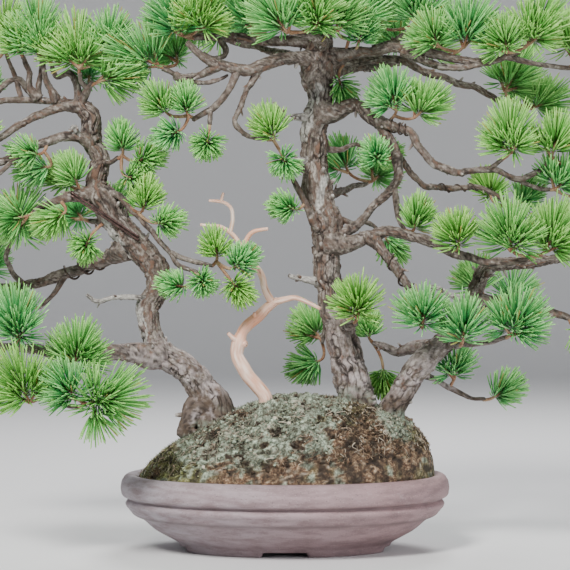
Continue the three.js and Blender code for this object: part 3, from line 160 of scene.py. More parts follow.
def add_floor():
    """A dish over (angle, along): flat, then a quarter circle, then a wall."""
    rising = FLOOR_CURVE * np.linspace(0.1, 2.4, 24)
    past = np.concatenate([np.linspace(0.4 - FLOOR_FLAT_RADIUS, 0, 9), rising])
    bend = np.clip(past / FLOOR_CURVE, 0, np.pi / 2)
    radius = FLOOR_FLAT_RADIUS + np.minimum(past, 0) + FLOOR_CURVE * np.sin(bend)
    rise = FLOOR_CURVE * (1 - np.cos(bend)) + np.clip(past - FLOOR_CURVE * np.pi / 2, 0, None)
    angle = round_angles(FLOOR_COLUMNS)
    around = np.stack([np.cos(angle), np.sin(angle), np.zeros(FLOOR_COLUMNS)], axis=1)
    rings = radius[:, None, None] * around + rise[:, None, None] * (0, 0, 1)
    points = np.concatenate([rings.reshape(-1, 3), [(0, 0, 0)]])
    dish = ring_faces(len(past), FLOOR_COLUMNS)[:, ::-1]
    middle = cap_faces(0, FLOOR_COLUMNS, len(points) - 1, True)
    paper, shader = new_material("studio_paper", FLOOR_ROUGHNESS)
    shader.inputs["Base Color"].default_value = FLOOR_COLOR
    mesh = mesh_from("studio_floor", points, np.concatenate([dish, middle]))
    add_object("studio_floor", mesh, [paper])


def add_light(name, place, target, size, power, color=(1, 1, 1)):
    light = bpy.data.objects.new(name, bpy.data.lights.new(name, "AREA"))
    light.data.shape = "DISK"
    light.data.size = size
    light.data.energy = power
    light.data.color = color
    light.location = place
    way = np.subtract(target, place)
    turn = np.arctan2(way[0], -way[1]) + np.pi
    down = np.arctan2(-way[2], np.hypot(way[0], way[1]))
    light.rotation_euler = (np.pi / 2 - down, 0, turn)
    bpy.context.scene.collection.objects.link(light)


add_floor()
MIDDLE = (0, 0, 0.3)
add_light("key_light", (-0.8, -2.0, 1.9), MIDDLE, 0.7, 108, (1, 0.98, 0.95))
add_light("fill_light", (1.9, -1.6, 0.8), MIDDLE, 1.5, 29, (0.95, 0.97, 1))
add_light("rim_light", (0.4, 1.5, 2.0), MIDDLE, 1.2, 46)
world = bpy.data.worlds.new("studio_air")
world.use_nodes = True
air = world.node_tree.nodes["Background"].inputs
air["Color"].default_value = (0.75, 0.78, 0.82, 1)
air["Strength"].default_value = 0.36
bpy.context.scene.world = world

# %% [markdown]
# ## Chance that is the same each time
#
# Bark, moss and needles need thousands of chance numbers, and the model has to come out the same on
# every run. A hash of whole numbers gives that: it mixes their bits until nothing of their order is
# left. Two textures grow out of it. Soft noise has a chance value at each corner of a cube lattice
# and blends between them. Cells have one chance point in each cube, and a place belongs to the
# nearest: their borders are the cracks of bark.

# %% Noise


def chance(keys, seed=0):
    """For each row of whole numbers, a number from 0 to 1."""
    keys = np.asarray(keys, np.int64).astype(np.uint32)
    mixed = np.full(keys.shape[:-1], (seed * 747796405 + 2891336453) % 2**32, np.uint32)
    for column in range(keys.shape[-1]):
        mixed = (mixed ^ keys[..., column]) * np.uint32(2654435761)
        mixed = mixed ^ (mixed >> np.uint32(15))
        mixed = mixed * np.uint32(2246822519)
        mixed = mixed ^ (mixed >> np.uint32(13))
    return mixed / 2**32


def draws(count, seed, columns=1):
    """A table of chance numbers: count rows, each with so many columns."""
    rows, places = np.meshgrid(np.arange(count), np.arange(columns), indexing="ij")
    return chance(np.stack([rows, places], axis=-1), seed)


def soft_noise(place, size, seed):
    """From -1 to 1: chance values at lattice corners, blended with 3t^2 - 2t^3 in each axis."""
    scaled = place / size
    cell = np.floor(scaled).astype(np.int64)
    part = scaled - cell
    part = part * part * (3 - 2 * part)
    total = np.zeros(len(place))
    for corner in itertools.product((0, 1), repeat=3):
        weight = np.prod(np.where(corner, part, 1 - part), axis=1)
        total += weight * chance(cell + corner, seed)
    return 2 * total - 1


def cell_noise(place, size, seed):
    """Distance to the nearest chance point, how much farther the next one is, and the cell's own
    chance number and the height of its point over the place."""
    scaled = place / size
    cell = np.floor(scaled).astype(np.int64)
    nearest = np.full(len(place), 9.0)
    second = nearest.copy()
    tone = np.zeros(len(place))
    rise = np.zeros(len(place))
    for offset in itertools.product((-1, 0, 1), repeat=3):
        cube = cell + offset
        point = cube + np.stack([chance(cube, seed + axis) for axis in range(3)], axis=1)
        distance = np.linalg.norm(point - scaled, axis=1)
        closer = distance < nearest
        second = np.where(closer, nearest, np.minimum(second, distance))
        nearest = np.where(closer, distance, nearest)
        tone = np.where(closer, chance(cube, seed + 3), tone)
        rise = np.where(closer, (point - scaled)[:, 2], rise)
    return nearest, second - nearest, tone, rise


def step_up(value, low, high):
    """0 below low, 1 above high, and 3t^2 - 2t^3 between them."""
    part = np.clip((value - low) / (high - low), 0, 1)
    return part * part * (3 - 2 * part)


# %% [markdown]
# ## Shells and pieces
#
# A shell is a closed surface as plain arrays: points in mm, faces, and numbers that belong to each
# point, such as how deep it lies in a crack. Materials read those numbers as attributes. A piece is
# one mesh object made of several shells.

# %% Shells into pieces
NUMBERS = ("tone", "depth", "along", "dead", "mossy", "hue")


def shell(points, faces, material=0, **numbers):
    """Points (n, 3) in mm, faces (m, 4) where a triangle's last corner is -1, and a number or an
    array for each named attribute."""
    values = {name: np.broadcast_to(numbers.get(name, 0.0), len(points)) for name in NUMBERS}
    return {"points": points, "faces": faces, "material": material, "values": values}


def add_piece(name, shells, materials, replaced):
    starts = np.cumsum([0] + [len(one["points"]) for one in shells])
    points = np.concatenate([one["points"] for one in shells]) * MM
    faces = np.concatenate(
        [np.where(one["faces"] < 0, -1, one["faces"] + start) for one, start in zip(shells, starts)]
    )
    mesh = mesh_from(name, points, faces)
    slots = np.concatenate([np.full(len(one["faces"]), one["material"]) for one in shells])
    mesh.polygons.foreach_set("material_index", slots.astype(np.int32))
    for number in NUMBERS:
        values = np.concatenate([one["values"][number] for one in shells])
        attribute = mesh.attributes.new(number, "FLOAT", "POINT")
        attribute.data.foreach_set("value", values.astype(np.float32))
    piece = add_object(name, mesh, materials)
    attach(piece, "root")
    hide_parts(replaced)
    triangle_counts[name] = int(np.where(faces[:, 3] < 0, 1, 2).sum())
    print(name, triangle_counts[name], "triangles")
    return piece


triangle_counts = {}


def repeated(pattern, corners, count):
    """The faces of one small shell, for so many shells of that many corners each."""
    pattern = np.asarray(pattern)
    starts = corners * np.arange(count)[:, None, None]
    return np.where(pattern < 0, -1, pattern + starts).reshape(-1, 4)


def closed_rings(rings, start_pole, end_pole):
    """Points and faces of a surface of rings (r, c, 3) with a pole at each end."""
    count, columns = rings.shape[:2]
    points = np.concatenate([rings.reshape(-1, 3), [start_pole], [end_pole]])
    last = count * columns
    start_cap = cap_faces(0, columns, last, False)
    end_cap = cap_faces(last - columns, columns, last + 1, True)
    return points, np.concatenate([ring_faces(count, columns), start_cap, end_cap])


# %% [markdown]
# ## A limb
#
# Wood that tapers and bends is a round section carried along a curve. The curve is a centripetal
# Catmull-Rom spline, the one the CAD model uses, so the fine limb lies in the coarse one. It passes
# through every place in the table and doesn't overshoot where two places are close. The section
# needs a direction to start from at each place: here it is the normal of the plane that fits the
# whole curve best, made square to the path, so it can't twist.

# %% Paths and tubes


def smooth_curve(knots, where):
    """A cubic between knots k and k + 1. Its end slopes come from the neighbours, each divided by
    the square root of its distance, and where = k + t picks the place."""
    ends = np.array([2 * knots[0] - knots[1], *knots, 2 * knots[-1] - knots[-2]])
    span = np.minimum(np.floor(where).astype(int), len(knots) - 2)
    t = (where - span)[:, None]
    a, b, c, d = (ends[span + place] for place in range(4))
    gap = [np.sqrt(np.linalg.norm(q - p, axis=1))[:, None] for p, q in ((a, b), (b, c), (c, d))]
    start = ((b - a) / gap[0] - (c - a) / (gap[0] + gap[1]) + (c - b) / gap[1]) * gap[1]
    end = ((c - b) / gap[1] - (d - b) / (gap[1] + gap[2]) + (d - c) / gap[2]) * gap[1]
    return b + t * (start + t * (3 * (c - b) - 2 * start - end + t * (2 * (b - c) + start + end)))


def even_path(knots, step):
    """Places at even distances along the smooth curve, their distances, and their knot numbers."""
    fine = np.linspace(0, len(knots) - 1, 30 * (len(knots) - 1) + 1)
    points = smooth_curve(knots, fine)
    length = np.concatenate([[0], np.cumsum(np.linalg.norm(np.diff(points, axis=0), axis=1))])
    count = max(3, int(round(length[-1] / step)) + 1)
    distance = np.linspace(0, length[-1], count)
    where = np.interp(distance, length, fine)
    return smooth_curve(knots, where), distance, where


CROOK = 1.7


def crooked(points):
    """The same points, moved by a soft noise of their place, so that limbs that meet still do."""
    sway = np.stack([soft_noise(points, 15, 61 + axis) for axis in range(3)], axis=1)
    return points + CROOK * sway * (1, 0.6, 1)


def limb_path(rows, step):
    """Centre line, radius and distance from the start, for a table of across, back, up, width."""
    points, distance, where = even_path(seen(rows), step)
    radius = np.interp(where, np.arange(len(rows)), [row[3] / 2 for row in rows])
    return crooked(points), radius, distance


def unit(vectors):
    return vectors / np.maximum(np.linalg.norm(vectors, axis=-1, keepdims=True), 1e-9)


def square_to(way, hint):
    """Two directions square to a way and to each other."""
    side = unit(np.cross(way, hint))
    return side, np.cross(way, side)


def turned(one, two, angle):
    """one * cos(angle) + two * sin(angle): the direction at an angle from one towards two."""
    angle = np.asarray(angle)[..., None]
    return one * np.cos(angle) + two * np.sin(angle)


def frame_along(points):
    """Directions along a path, and two directions square to it that turn as little as they can."""
    direction = unit(np.gradient(points, axis=0))
    normal = np.linalg.svd(points - points.mean(axis=0))[2][-1]
    normal = normal if normal[1] >= 0 else -normal
    side = unit(normal - (direction @ normal)[:, None] * direction)
    return direction, side, np.cross(direction, side)


def tube(points, reach):
    """Rings round a path: centre + side * reach * cos(angle) + other * reach * sin(angle)."""
    direction, side, other = frame_along(points)
    out = turned(side[:, None], other[:, None], round_angles(reach.shape[1]))
    start = points[0] - direction[0] * reach[0].mean() * 0.4
    end = points[-1] + direction[-1] * reach[-1].mean() * 0.5
    return closed_rings(points[:, None] + out * reach[..., None], start, end)


def unrolled(radius, distance, columns):
    """Each place of a limb's surface, laid on a straight limb of its mean radius for noise to read."""
    angle = round_angles(columns)
    mean = radius.mean()
    places = np.broadcast_arrays(mean * np.cos(angle), mean * np.sin(angle), distance[:, None])
    return np.stack(places, axis=-1).reshape(-1, 3)


def plain_tube(points, radius, columns, **numbers):
    """A smooth tube of one radius, or of one radius for each place."""
    reach = np.broadcast_to(np.asarray(radius, float).reshape(-1, 1), (len(points), columns))
    return shell(*tube(points, reach), **numbers)


# %% [markdown]
# ## Finishes
#
# A natural finish is several things at once: the colour of the whole, a change from patch to patch,
# dark in the cracks, and a fine unevenness that only the light shows. So each material here blends
# a few colours by noise in the object's own coordinates, darkens them by the depth that the shell
# carries, which is painted shade in the hollows and grooves on top of the darker colour that some of
# them have, and adds a bump. Sizes are in metres, so a noise scale of 300 has lumps of about 3 mm.

# %% Material helpers


def add_node(tree, kind, inputs=(), **settings):
    """A node whose inputs are set to a number or linked to an output."""
    made = tree.nodes.new(kind)
    for name, value in settings.items():
        setattr(made, name, value)
    for name, value in dict(inputs).items():
        if isinstance(value, bpy.types.NodeSocket):
            tree.links.new(value, made.inputs[name])
        else:
            made.inputs[name].default_value = value
    return made


def number(tree, name):
    return add_node(tree, "ShaderNodeAttribute", attribute_name=name).outputs["Fac"]


def place_in(tree):
    return add_node(tree, "ShaderNodeTexCoord").outputs["Object"]


def axis_in(tree, axis):
    return add_node(tree, "ShaderNodeSeparateXYZ", {"Vector": place_in(tree)}).outputs[axis]


def noise(tree, scale, detail=4.0, roughness=0.55, stretch=(1, 1, 1)):
    place = place_in(tree)
    if stretch != (1, 1, 1):
        place = add_node(tree, "ShaderNodeMapping", {"Vector": place, "Scale": stretch}).outputs[0]
    inputs = {"Vector": place, "Scale": scale, "Detail": detail, "Roughness": roughness}
    return add_node(tree, "ShaderNodeTexNoise", inputs).outputs["Fac"]


def spots(tree, scale, low, high):
    """White where the nearest cell point is close: 1 at distance low, 0 at distance high."""
    cells = add_node(tree, "ShaderNodeTexVoronoi", {"Vector": place_in(tree), "Scale": scale})
    return spread(tree, cells.outputs["Distance"], high, low)


def spread(tree, value, low, high):
    """The value taken from low..high to 0..1, with its ends held."""
    inputs = {"Value": value, "From Min": low, "From Max": high}
    return add_node(tree, "ShaderNodeMapRange", inputs).outputs["Result"]


def graded(tree, name, low, high):
    return spread(tree, number(tree, name), low, high)


def patchy(tree, low, high, *grain):
    return spread(tree, noise(tree, *grain), low, high)


def times(tree, one, two):
    return add_node(tree, "ShaderNodeMath", {0: one, 1: two}, operation="MULTIPLY").outputs[0]


def ramp(tree, value, *stops):
    """A colour for each (place, colour) between 0 and 1, blended between them."""
    made = add_node(tree, "ShaderNodeValToRGB", {"Fac": value})
    elements = made.color_ramp.elements
    for extra in range(len(stops) - 2):
        elements.new(0.5)
    for element, (place, color) in zip(elements, stops):
        element.position = place
        element.color = (*color, 1)
    return made.outputs["Color"]


def blend(tree, factor, one, two):
    """Colour one, towards colour two by the factor."""
    made = add_node(tree, "ShaderNodeMix", data_type="RGBA")
    sockets = {"Factor": made.inputs[0], "A": made.inputs[6], "B": made.inputs[7]}
    for socket, value in zip(sockets.values(), (factor, one, two)):
        if isinstance(value, bpy.types.NodeSocket):
            tree.links.new(value, socket)
        else:
            socket.default_value = (*value, 1) if isinstance(value, tuple) else value
    return made.outputs[2]


def finish(name, color_of, roughness, grain, relief, strength=1.0, hollow_color_and_shade=None, others=()):
    """A material of a colour that turns with depth towards the colour of its hollows and the shade
    painted into them, over a bump of noise, and with other inputs of its shader set by their names."""
    material, shader = new_material(name, roughness)
    tree = material.node_tree
    color = color_of(tree)
    if hollow_color_and_shade:
        color = blend(tree, number(tree, "depth"), color, hollow_color_and_shade)
    inputs = {"Height": noise(tree, *grain), "Distance": relief, "Strength": strength}
    tree.links.new(color, shader.inputs["Base Color"])
    bumped = add_node(tree, "ShaderNodeBump", inputs).outputs["Normal"]
    tree.links.new(bumped, shader.inputs["Normal"])
    for socket, value in dict(others).items():
        shader.inputs[socket].default_value = value
    return material


# %% [markdown]
# ### Bark, dead wood and shoots
#
# Pine bark is grey with a mauve tinge on the faces of its plates, reddish brown where a flake came
# off, and nearly black in the cracks, which is partly the dark inner bark and partly painted shade.
# Where it stands in the moss, lichen creeps up on it. Wood that died and lost its bark goes silver
# grey. All of this is on the same limb, so it is one material with the numbers of the shell to say
# what is where.

# %% Bark
LICHEN = (0.25, 0.31, 0.235)


def bark_color(tree):
    faces = ramp(
        tree,
        noise(tree, 210, 6, 0.65),
        (0.3, (0.045, 0.032, 0.024)),
        (0.44, (0.13, 0.103, 0.085)),
        (0.57, (0.24, 0.203, 0.175)),
        (0.7, (0.47, 0.42, 0.385)),
    )
    fibres = blend(tree, graded(tree, "hue", 0.55, 0.1), faces, (0.1, 0.06, 0.046))
    flaked = blend(tree, graded(tree, "tone", 0.6, 0.9), fibres, (0.15, 0.083, 0.056))
    weathered = blend(tree, graded(tree, "tone", 0.42, 0.2), flaked, (0.4, 0.36, 0.325))
    plates = blend(tree, patchy(tree, 0.35, 0.6, 60, 5), weathered, flaked)
    height = axis_in(tree, "Z")
    low = times(tree, spread(tree, height, 0.24, 0.15), patchy(tree, 0.4, 0.58, 130, 5))
    plates = blend(tree, times(tree, low, 0.75), plates, (0.6, 0.53, 0.53))
    foot = times(tree, spread(tree, height, 0.168, 0.15), patchy(tree, 0.3, 0.46, 75, 5))
    plates = blend(tree, times(tree, foot, 0.85), plates, (0.075, 0.047, 0.028))
    grey = ramp(tree, noise(tree, 320, 5), (0.3, (0.24, 0.22, 0.205)), (0.7, (0.62, 0.6, 0.56)))
    wood = blend(tree, number(tree, "dead"), plates, grey)
    crept = times(tree, number(tree, "mossy"), patchy(tree, 0.36, 0.56, 260, 4))
    return blend(tree, crept, wood, LICHEN)


def shoot_color(tree):
    dark, light = (0.17, 0.068, 0.035), (0.36, 0.19, 0.105)
    color = ramp(tree, noise(tree, 700, 3), (0.35, dark), (0.65, light))
    return blend(tree, graded(tree, "tone", 0.4, 1.0), color, (0.45, 0.33, 0.2))


def bare_color(tree):
    grain = ramp(
        tree,
        number(tree, "tone"),
        (0.15, (0.56, 0.3, 0.205)),
        (0.5, (0.77, 0.5, 0.38)),
        (0.8, (0.88, 0.7, 0.6)),
    )
    blush = blend(tree, patchy(tree, 0.45, 0.7, 26, 3), grain, (0.78, 0.36, 0.22))
    return blend(tree, times(tree, patchy(tree, 0.5, 0.7, 45, 3), 0.6), blush, (0.86, 0.72, 0.64))


def needle_color(tree):
    """Green from base to tip: brown in the sheath, pale at the tip, bluer or yellower by the tuft's
    own hue, and lighter or darker from needle to needle, with painted shade that makes each needle
    darker towards its base inside the tuft."""
    tone = number(tree, "tone")
    blues = (0.0, (0.015, 0.17, 0.045)), (0.5, (0.08, 0.43, 0.125)), (1.0, (0.31, 0.76, 0.29))
    yellows = (0.0, (0.04, 0.19, 0.015)), (0.5, (0.18, 0.49, 0.065)), (1.0, (0.47, 0.79, 0.18))
    green = blend(tree, number(tree, "hue"), ramp(tree, tone, *blues), ramp(tree, tone, *yellows))
    pale_tip = times(tree, graded(tree, "along", 0.6, 1.0), 0.3)
    pale = blend(tree, pale_tip, green, (0.56, 0.76, 0.24))
    rooted = blend(tree, graded(tree, "along", 0.13, 0.02), pale, (0.3, 0.2, 0.09))
    return blend(tree, number(tree, "dead"), rooted, (0.42, 0.3, 0.09))


# The colours of the bark's cracks and of the bare wood's checks: partly their own darker colour, partly
# painted shade in them.
BARK_CRACKS_AND_SHADE, WOOD_CHECKS_AND_SHADE = (0.022, 0.014, 0.011), (0.16, 0.085, 0.06)
DULL = {"Specular IOR Level": 0.12}
bark = finish("pine_bark", bark_color, 0.86, (520, 6, 0.7), 0.0011, 0.8, BARK_CRACKS_AND_SHADE)
young_shoot = finish("young_shoot", shoot_color, 0.7, (900, 3), 0.0005)
bare_wood = finish("bare_peach_wood", bare_color, 0.5, (420, 4), 0.0004, 0.6, WOOD_CHECKS_AND_SHADE)
pine_needle = finish("pine_needle", needle_color, 0.55, (900, 2), 0.0001, others=DULL)

# %% [markdown]
# ### Clay, moss, grit and wire
#
# The pot is unglazed stoneware. Its mauve grey comes out cooler on one side, as the kiln left it,
# there are fine pale specks of grog all over it, and pale salts have dried on its ledges. The moss
# is never one green: lichen on it is sage grey, what has dried is rust brown, and the live moss at
# the rim is olive.

# %% Clay, ground and wire


def clay_color(tree):
    drift = times(tree, noise(tree, 9, 3), 0.16)
    lean = add_node(tree, "ShaderNodeMath", {0: axis_in(tree, "X"), 1: drift}, operation="ADD")
    body = ramp(
        tree,
        spread(tree, lean.outputs[0], -0.06, 0.2),
        (0.0, (0.33, 0.295, 0.325)),
        (0.45, (0.33, 0.25, 0.265)),
        (1.0, (0.31, 0.2, 0.205)),
    )
    streaks = times(tree, patchy(tree, 0.4, 0.64, 40, 5, 0.6, (1, 1, 4)), 0.65)
    smoked = blend(tree, streaks, body, (0.16, 0.1, 0.105))
    salts = times(tree, patchy(tree, 0.6, 0.78, 62, 6, 0.7, (1, 1, 3)), 0.4)
    dried = blend(tree, salts, smoked, (0.5, 0.44, 0.45))
    speckled = blend(tree, times(tree, spots(tree, 520, 0.1, 0.2), 0.5), dried, (0.55, 0.5, 0.48))
    grain = blend(tree, times(tree, spots(tree, 300, 0.08, 0.16), 0.7), speckled, (0.07, 0.05, 0.05))
    soiled = times(tree, number(tree, "mossy"), patchy(tree, 0.4, 0.6, 160, 4))
    return blend(tree, soiled, grain, (0.11, 0.085, 0.06))


def ground_color(tree):
    fine = noise(tree, 260, 6, 0.75)
    lichen = (0.38, (0.035, 0.04, 0.024)), (0.49, LICHEN), (0.61, (0.6, 0.7, 0.54))
    rust = (0.37, (0.02, 0.01, 0.006)), (0.5, (0.16, 0.085, 0.048)), (0.63, (0.55, 0.4, 0.25))
    olive = (0.37, (0.06, 0.065, 0.016)), (0.5, (0.25, 0.265, 0.09)), (0.63, (0.5, 0.53, 0.29))
    dry, grey, live = (ramp(tree, fine, *stops) for stops in (rust, lichen, olive))
    moss = blend(tree, number(tree, "mossy"), dry, live)
    mixed = blend(tree, number(tree, "hue"), moss, grey)
    bleached = blend(tree, number(tree, "dead"), mixed, (0.68, 0.62, 0.5))
    return blend(tree, graded(tree, "tone", 0.85, 0.0), bleached, (0.05, 0.035, 0.02))


def wire_finish(name, color, roughness, metallic):
    dull = tuple(0.45 * part for part in color)
    worn = lambda tree: blend(tree, patchy(tree, 0.42, 0.62, 260, 4), color, dull)
    return finish(name, worn, roughness, (900, 3), 0.0002, others={"Metallic": metallic})


# Painted shade: the pot's colour for its grooves and foot. The mound's colour is dark bare soil together
# with painted shade in its hollows.
CLAY_SHADE, GROUND_SOIL_AND_SHADE = (0.1, 0.066, 0.066), (0.018, 0.012, 0.008)
unglazed_clay = finish("unglazed_clay", clay_color, 0.68, (480, 5, 0.6), 0.0005, 0.6, CLAY_SHADE)
moss_and_grit = finish("moss_and_grit", ground_color, 0.95, (620, 5, 0.7), 0.0012, 0.9, GROUND_SOIL_AND_SHADE)
dark_wire = wire_finish("dark_wire", (0.12, 0.085, 0.07), 0.5, 0.75)
steel_wire = wire_finish("rusty_steel_rod", (0.13, 0.075, 0.068), 0.4, 0.7)
screen_mesh = wire_finish("screen_plastic", (0.035, 0.04, 0.035), 0.5, 0.0)

# %% [markdown]
# ## The pot
#
# A potter's profile, carried round an oval: each row says how far in from the widest line it lies
# and how high. The same row goes all the way round, so the wall is even. Four shallow notches in the
# foot let water and air through. They are made by lifting the lowest points of the foot, and the
# drain holes by cutting two cylinders out.

# %% Pot
POT_HALF_LENGTH, POT_HALF_DEPTH = 164, 124
POT_COLUMNS = 220
FLOOR_UNDERSIDE, FLOOR_TOP = 8, 16
FOOT_NOTCH_WIDTH, FOOT_NOTCH_HEIGHT = 46, 5
DRAIN_HOLE_RADIUS, DRAIN_HOLE_OFFSET = 13, 58
POT_PROFILE = [
    (77, 8), (74.4, 7), (74, 0.6), (73.2, 0), (61, 0), (60, 0.8), (58.8, 5), (57, 8), (50, 12.2),
    (36, 20), (28, 26.2), (23, 31), (18, 33.6), (14.6, 35), (12.4, 36.4), (10.6, 38.6), (8, 41.8),
    (5.8, 44.4), (5, 46.3), (5.6, 48.6), (7.4, 50.6), (7.9, 51.6), (7.2, 52.9), (3.4, 54), (1.6, 55.4),
    (0.5, 59), (0.1, 63), (0.8, 68), (2.6, 72), (5.2, 75), (7.6, 76), (11.5, 75.6), (15.4, 74.4),
    (17.2, 72.6), (21, 58), (30, 40), (38, 28), (47, 21), (60, 16.4), (66, 16),
]


def oval(inset, height, angle):
    """x = (half length - inset) cos angle, y = (half depth - inset) sin angle, at a height."""
    x = (POT_HALF_LENGTH - inset) * np.cos(angle)
    y = (POT_HALF_DEPTH - inset) * np.sin(angle)
    return np.stack(np.broadcast_arrays(x, y, height), axis=-1)


def pot_shell():
    knots = np.array([(*row, 0) for row in POT_PROFILE], float)
    where = np.linspace(0, len(knots) - 1, 2 * (len(knots) - 1) + 1)
    profile = smooth_curve(knots, where)
    inset, height = profile[:, :1], profile[:, 1:2]
    rings = oval(inset, height, round_angles(POT_COLUMNS))
    out = unit(rings * (1, 1, 0))
    uneven = soft_noise(rings.reshape(-1, 3), 26, 5).reshape(rings.shape[:2])
    throwing = 0.12 * np.sin(height * 1.9) + 0.25 * uneven
    outside = (height > 12) & (inset < 50)
    rings = rings + out * (throwing * outside)[..., None]
    in_notch = np.minimum(np.abs(rings[..., 0]), np.abs(rings[..., 1])) < FOOT_NOTCH_WIDTH / 2
    rings[..., 2] = np.where(in_notch, np.maximum(rings[..., 2], FOOT_NOTCH_HEIGHT), rings[..., 2])
    points, faces = closed_rings(rings, (0, 0, FLOOR_UNDERSIDE), (0, 0, FLOOR_TOP))
    x, y, z = points.T
    soil_line = step_up(z, 60, 75) * (np.hypot(x / 150, y / 110) < 1)
    # Painted shade: the depth darkens the two grooves of the wall, and more weakly the lowest 30 mm, where
    # the pot stands in its own shade, a little unevenly.
    groove = np.maximum(1 - np.abs(z - 52) / 2.2, 1 - np.abs(z - 35) / 3.5)
    below = 0.35 * (1 - step_up(z, 4, 30))
    painted_shade = np.clip(0.75 * groove, below, 1) * (0.7 + 0.3 * soft_noise(points, 14, 19))
    return shell(points, faces, mossy=soil_line, depth=painted_shade)


def cut_drain_holes(pot):
    for side in (-1, 1):
        bpy.ops.mesh.primitive_cylinder_add(
            vertices=48,
            radius=DRAIN_HOLE_RADIUS * MM,
            depth=2 * FLOOR_TOP * MM,
            location=(side * DRAIN_HOLE_OFFSET * MM, 0, FLOOR_TOP * MM),
        )
        drill = bpy.context.object
        cut = pot.modifiers.new("drain_hole", "BOOLEAN")
        cut.operation = "DIFFERENCE"
        cut.object = drill
        bpy.context.view_layer.objects.active = pot
        bpy.ops.object.modifier_apply(modifier=cut.name)
        bpy.data.objects.remove(drill)


cut_drain_holes(add_piece("clay_pot", [pot_shell()], [unglazed_clay], "pot"))
for side_name in ("left", "right"):
    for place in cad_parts[f"drain_screen_{side_name}"].material_slots:
        place.material = screen_mesh

# %% [markdown]
# ## The wood that lives
#
# Three trunks rise from one old root. Each row of these tables is a place on a limb's centre line,
# with its width: across, back and up as seen from the front. They are the same rows as in the CAD
# model.

# %% Trunks
TRUNKS = {
    "left_trunk": [
        (-62, 6, 116, 44), (-70, 2, 132, 42), (-73, 0, 145, 34), (-84, -4, 163, 27), (-100, -8, 181, 28),
        (-124, -10, 196, 28), (-133, -10, 213, 22), (-137, -10, 227, 22), (-137, -8, 244, 24),
        (-128, -5, 257, 22), (-127, 0, 274, 24), (-138, 4, 291, 26), (-152, 6, 306, 28), (-168, 6, 327, 26),
        (-182, 6, 349, 30), (-188, 8, 359, 25), (-190, 10, 369, 19), (-185, 12, 389, 18),
        (-193, 12, 409, 20), (-193, 10, 429, 20), (-201, 8, 441, 17), (-207, 6, 449, 11),
    ],
    "main_trunk": [
        (58, 8, 116, 48), (66, 5, 136, 44), (69, 2, 150, 37), (67, -1, 174, 33), (63, -2, 189, 31),
        (60, -3, 204, 30), (56, -3, 219, 28), (51, -2, 234, 28), (45, 0, 249, 27), (44, 3, 262, 29),
        (41, 5, 279, 28), (42, 6, 302, 26), (42, 5, 327, 31), (37, 4, 344, 28), (33, 4, 359, 29),
        (29, 5, 389, 25), (29, 6, 409, 27), (33, 7, 429, 27), (36, 8, 449, 26), (33, 8, 469, 29),
        (34, 8, 491, 31), (35, 9, 508, 25), (38, 11, 528, 18), (35, 13, 545, 14),
    ],
    "right_trunk": [
        (96, 0, 110, 34), (104, -7, 132, 29), (108, -10, 144, 25), (118, -12, 159, 24), (128, -14, 174, 25),
        (140, -14, 189, 25), (153, -12, 201, 22), (165, -8, 214, 20), (177, -2, 231, 19), (188, 4, 246, 18),
        (193, 8, 262, 16), (199, 12, 276, 16), (215, 16, 285, 14), (245, 20, 287, 11), (275, 24, 290, 8),
        (306, 28, 297, 5.5),
    ],
    "common_root": [
        (-98, -2, 108, 20), (-64, 4, 114, 38), (-30, 6, 107, 34), (12, 8, 104, 36), (58, 8, 112, 44),
        (96, 0, 108, 36), (122, -8, 96, 18),
    ],
}

# %% [markdown]
# ### Branches
#
# Branches leave the trunks nearly level, as a trained bonsai's do, and end where their sprays of
# needles begin.

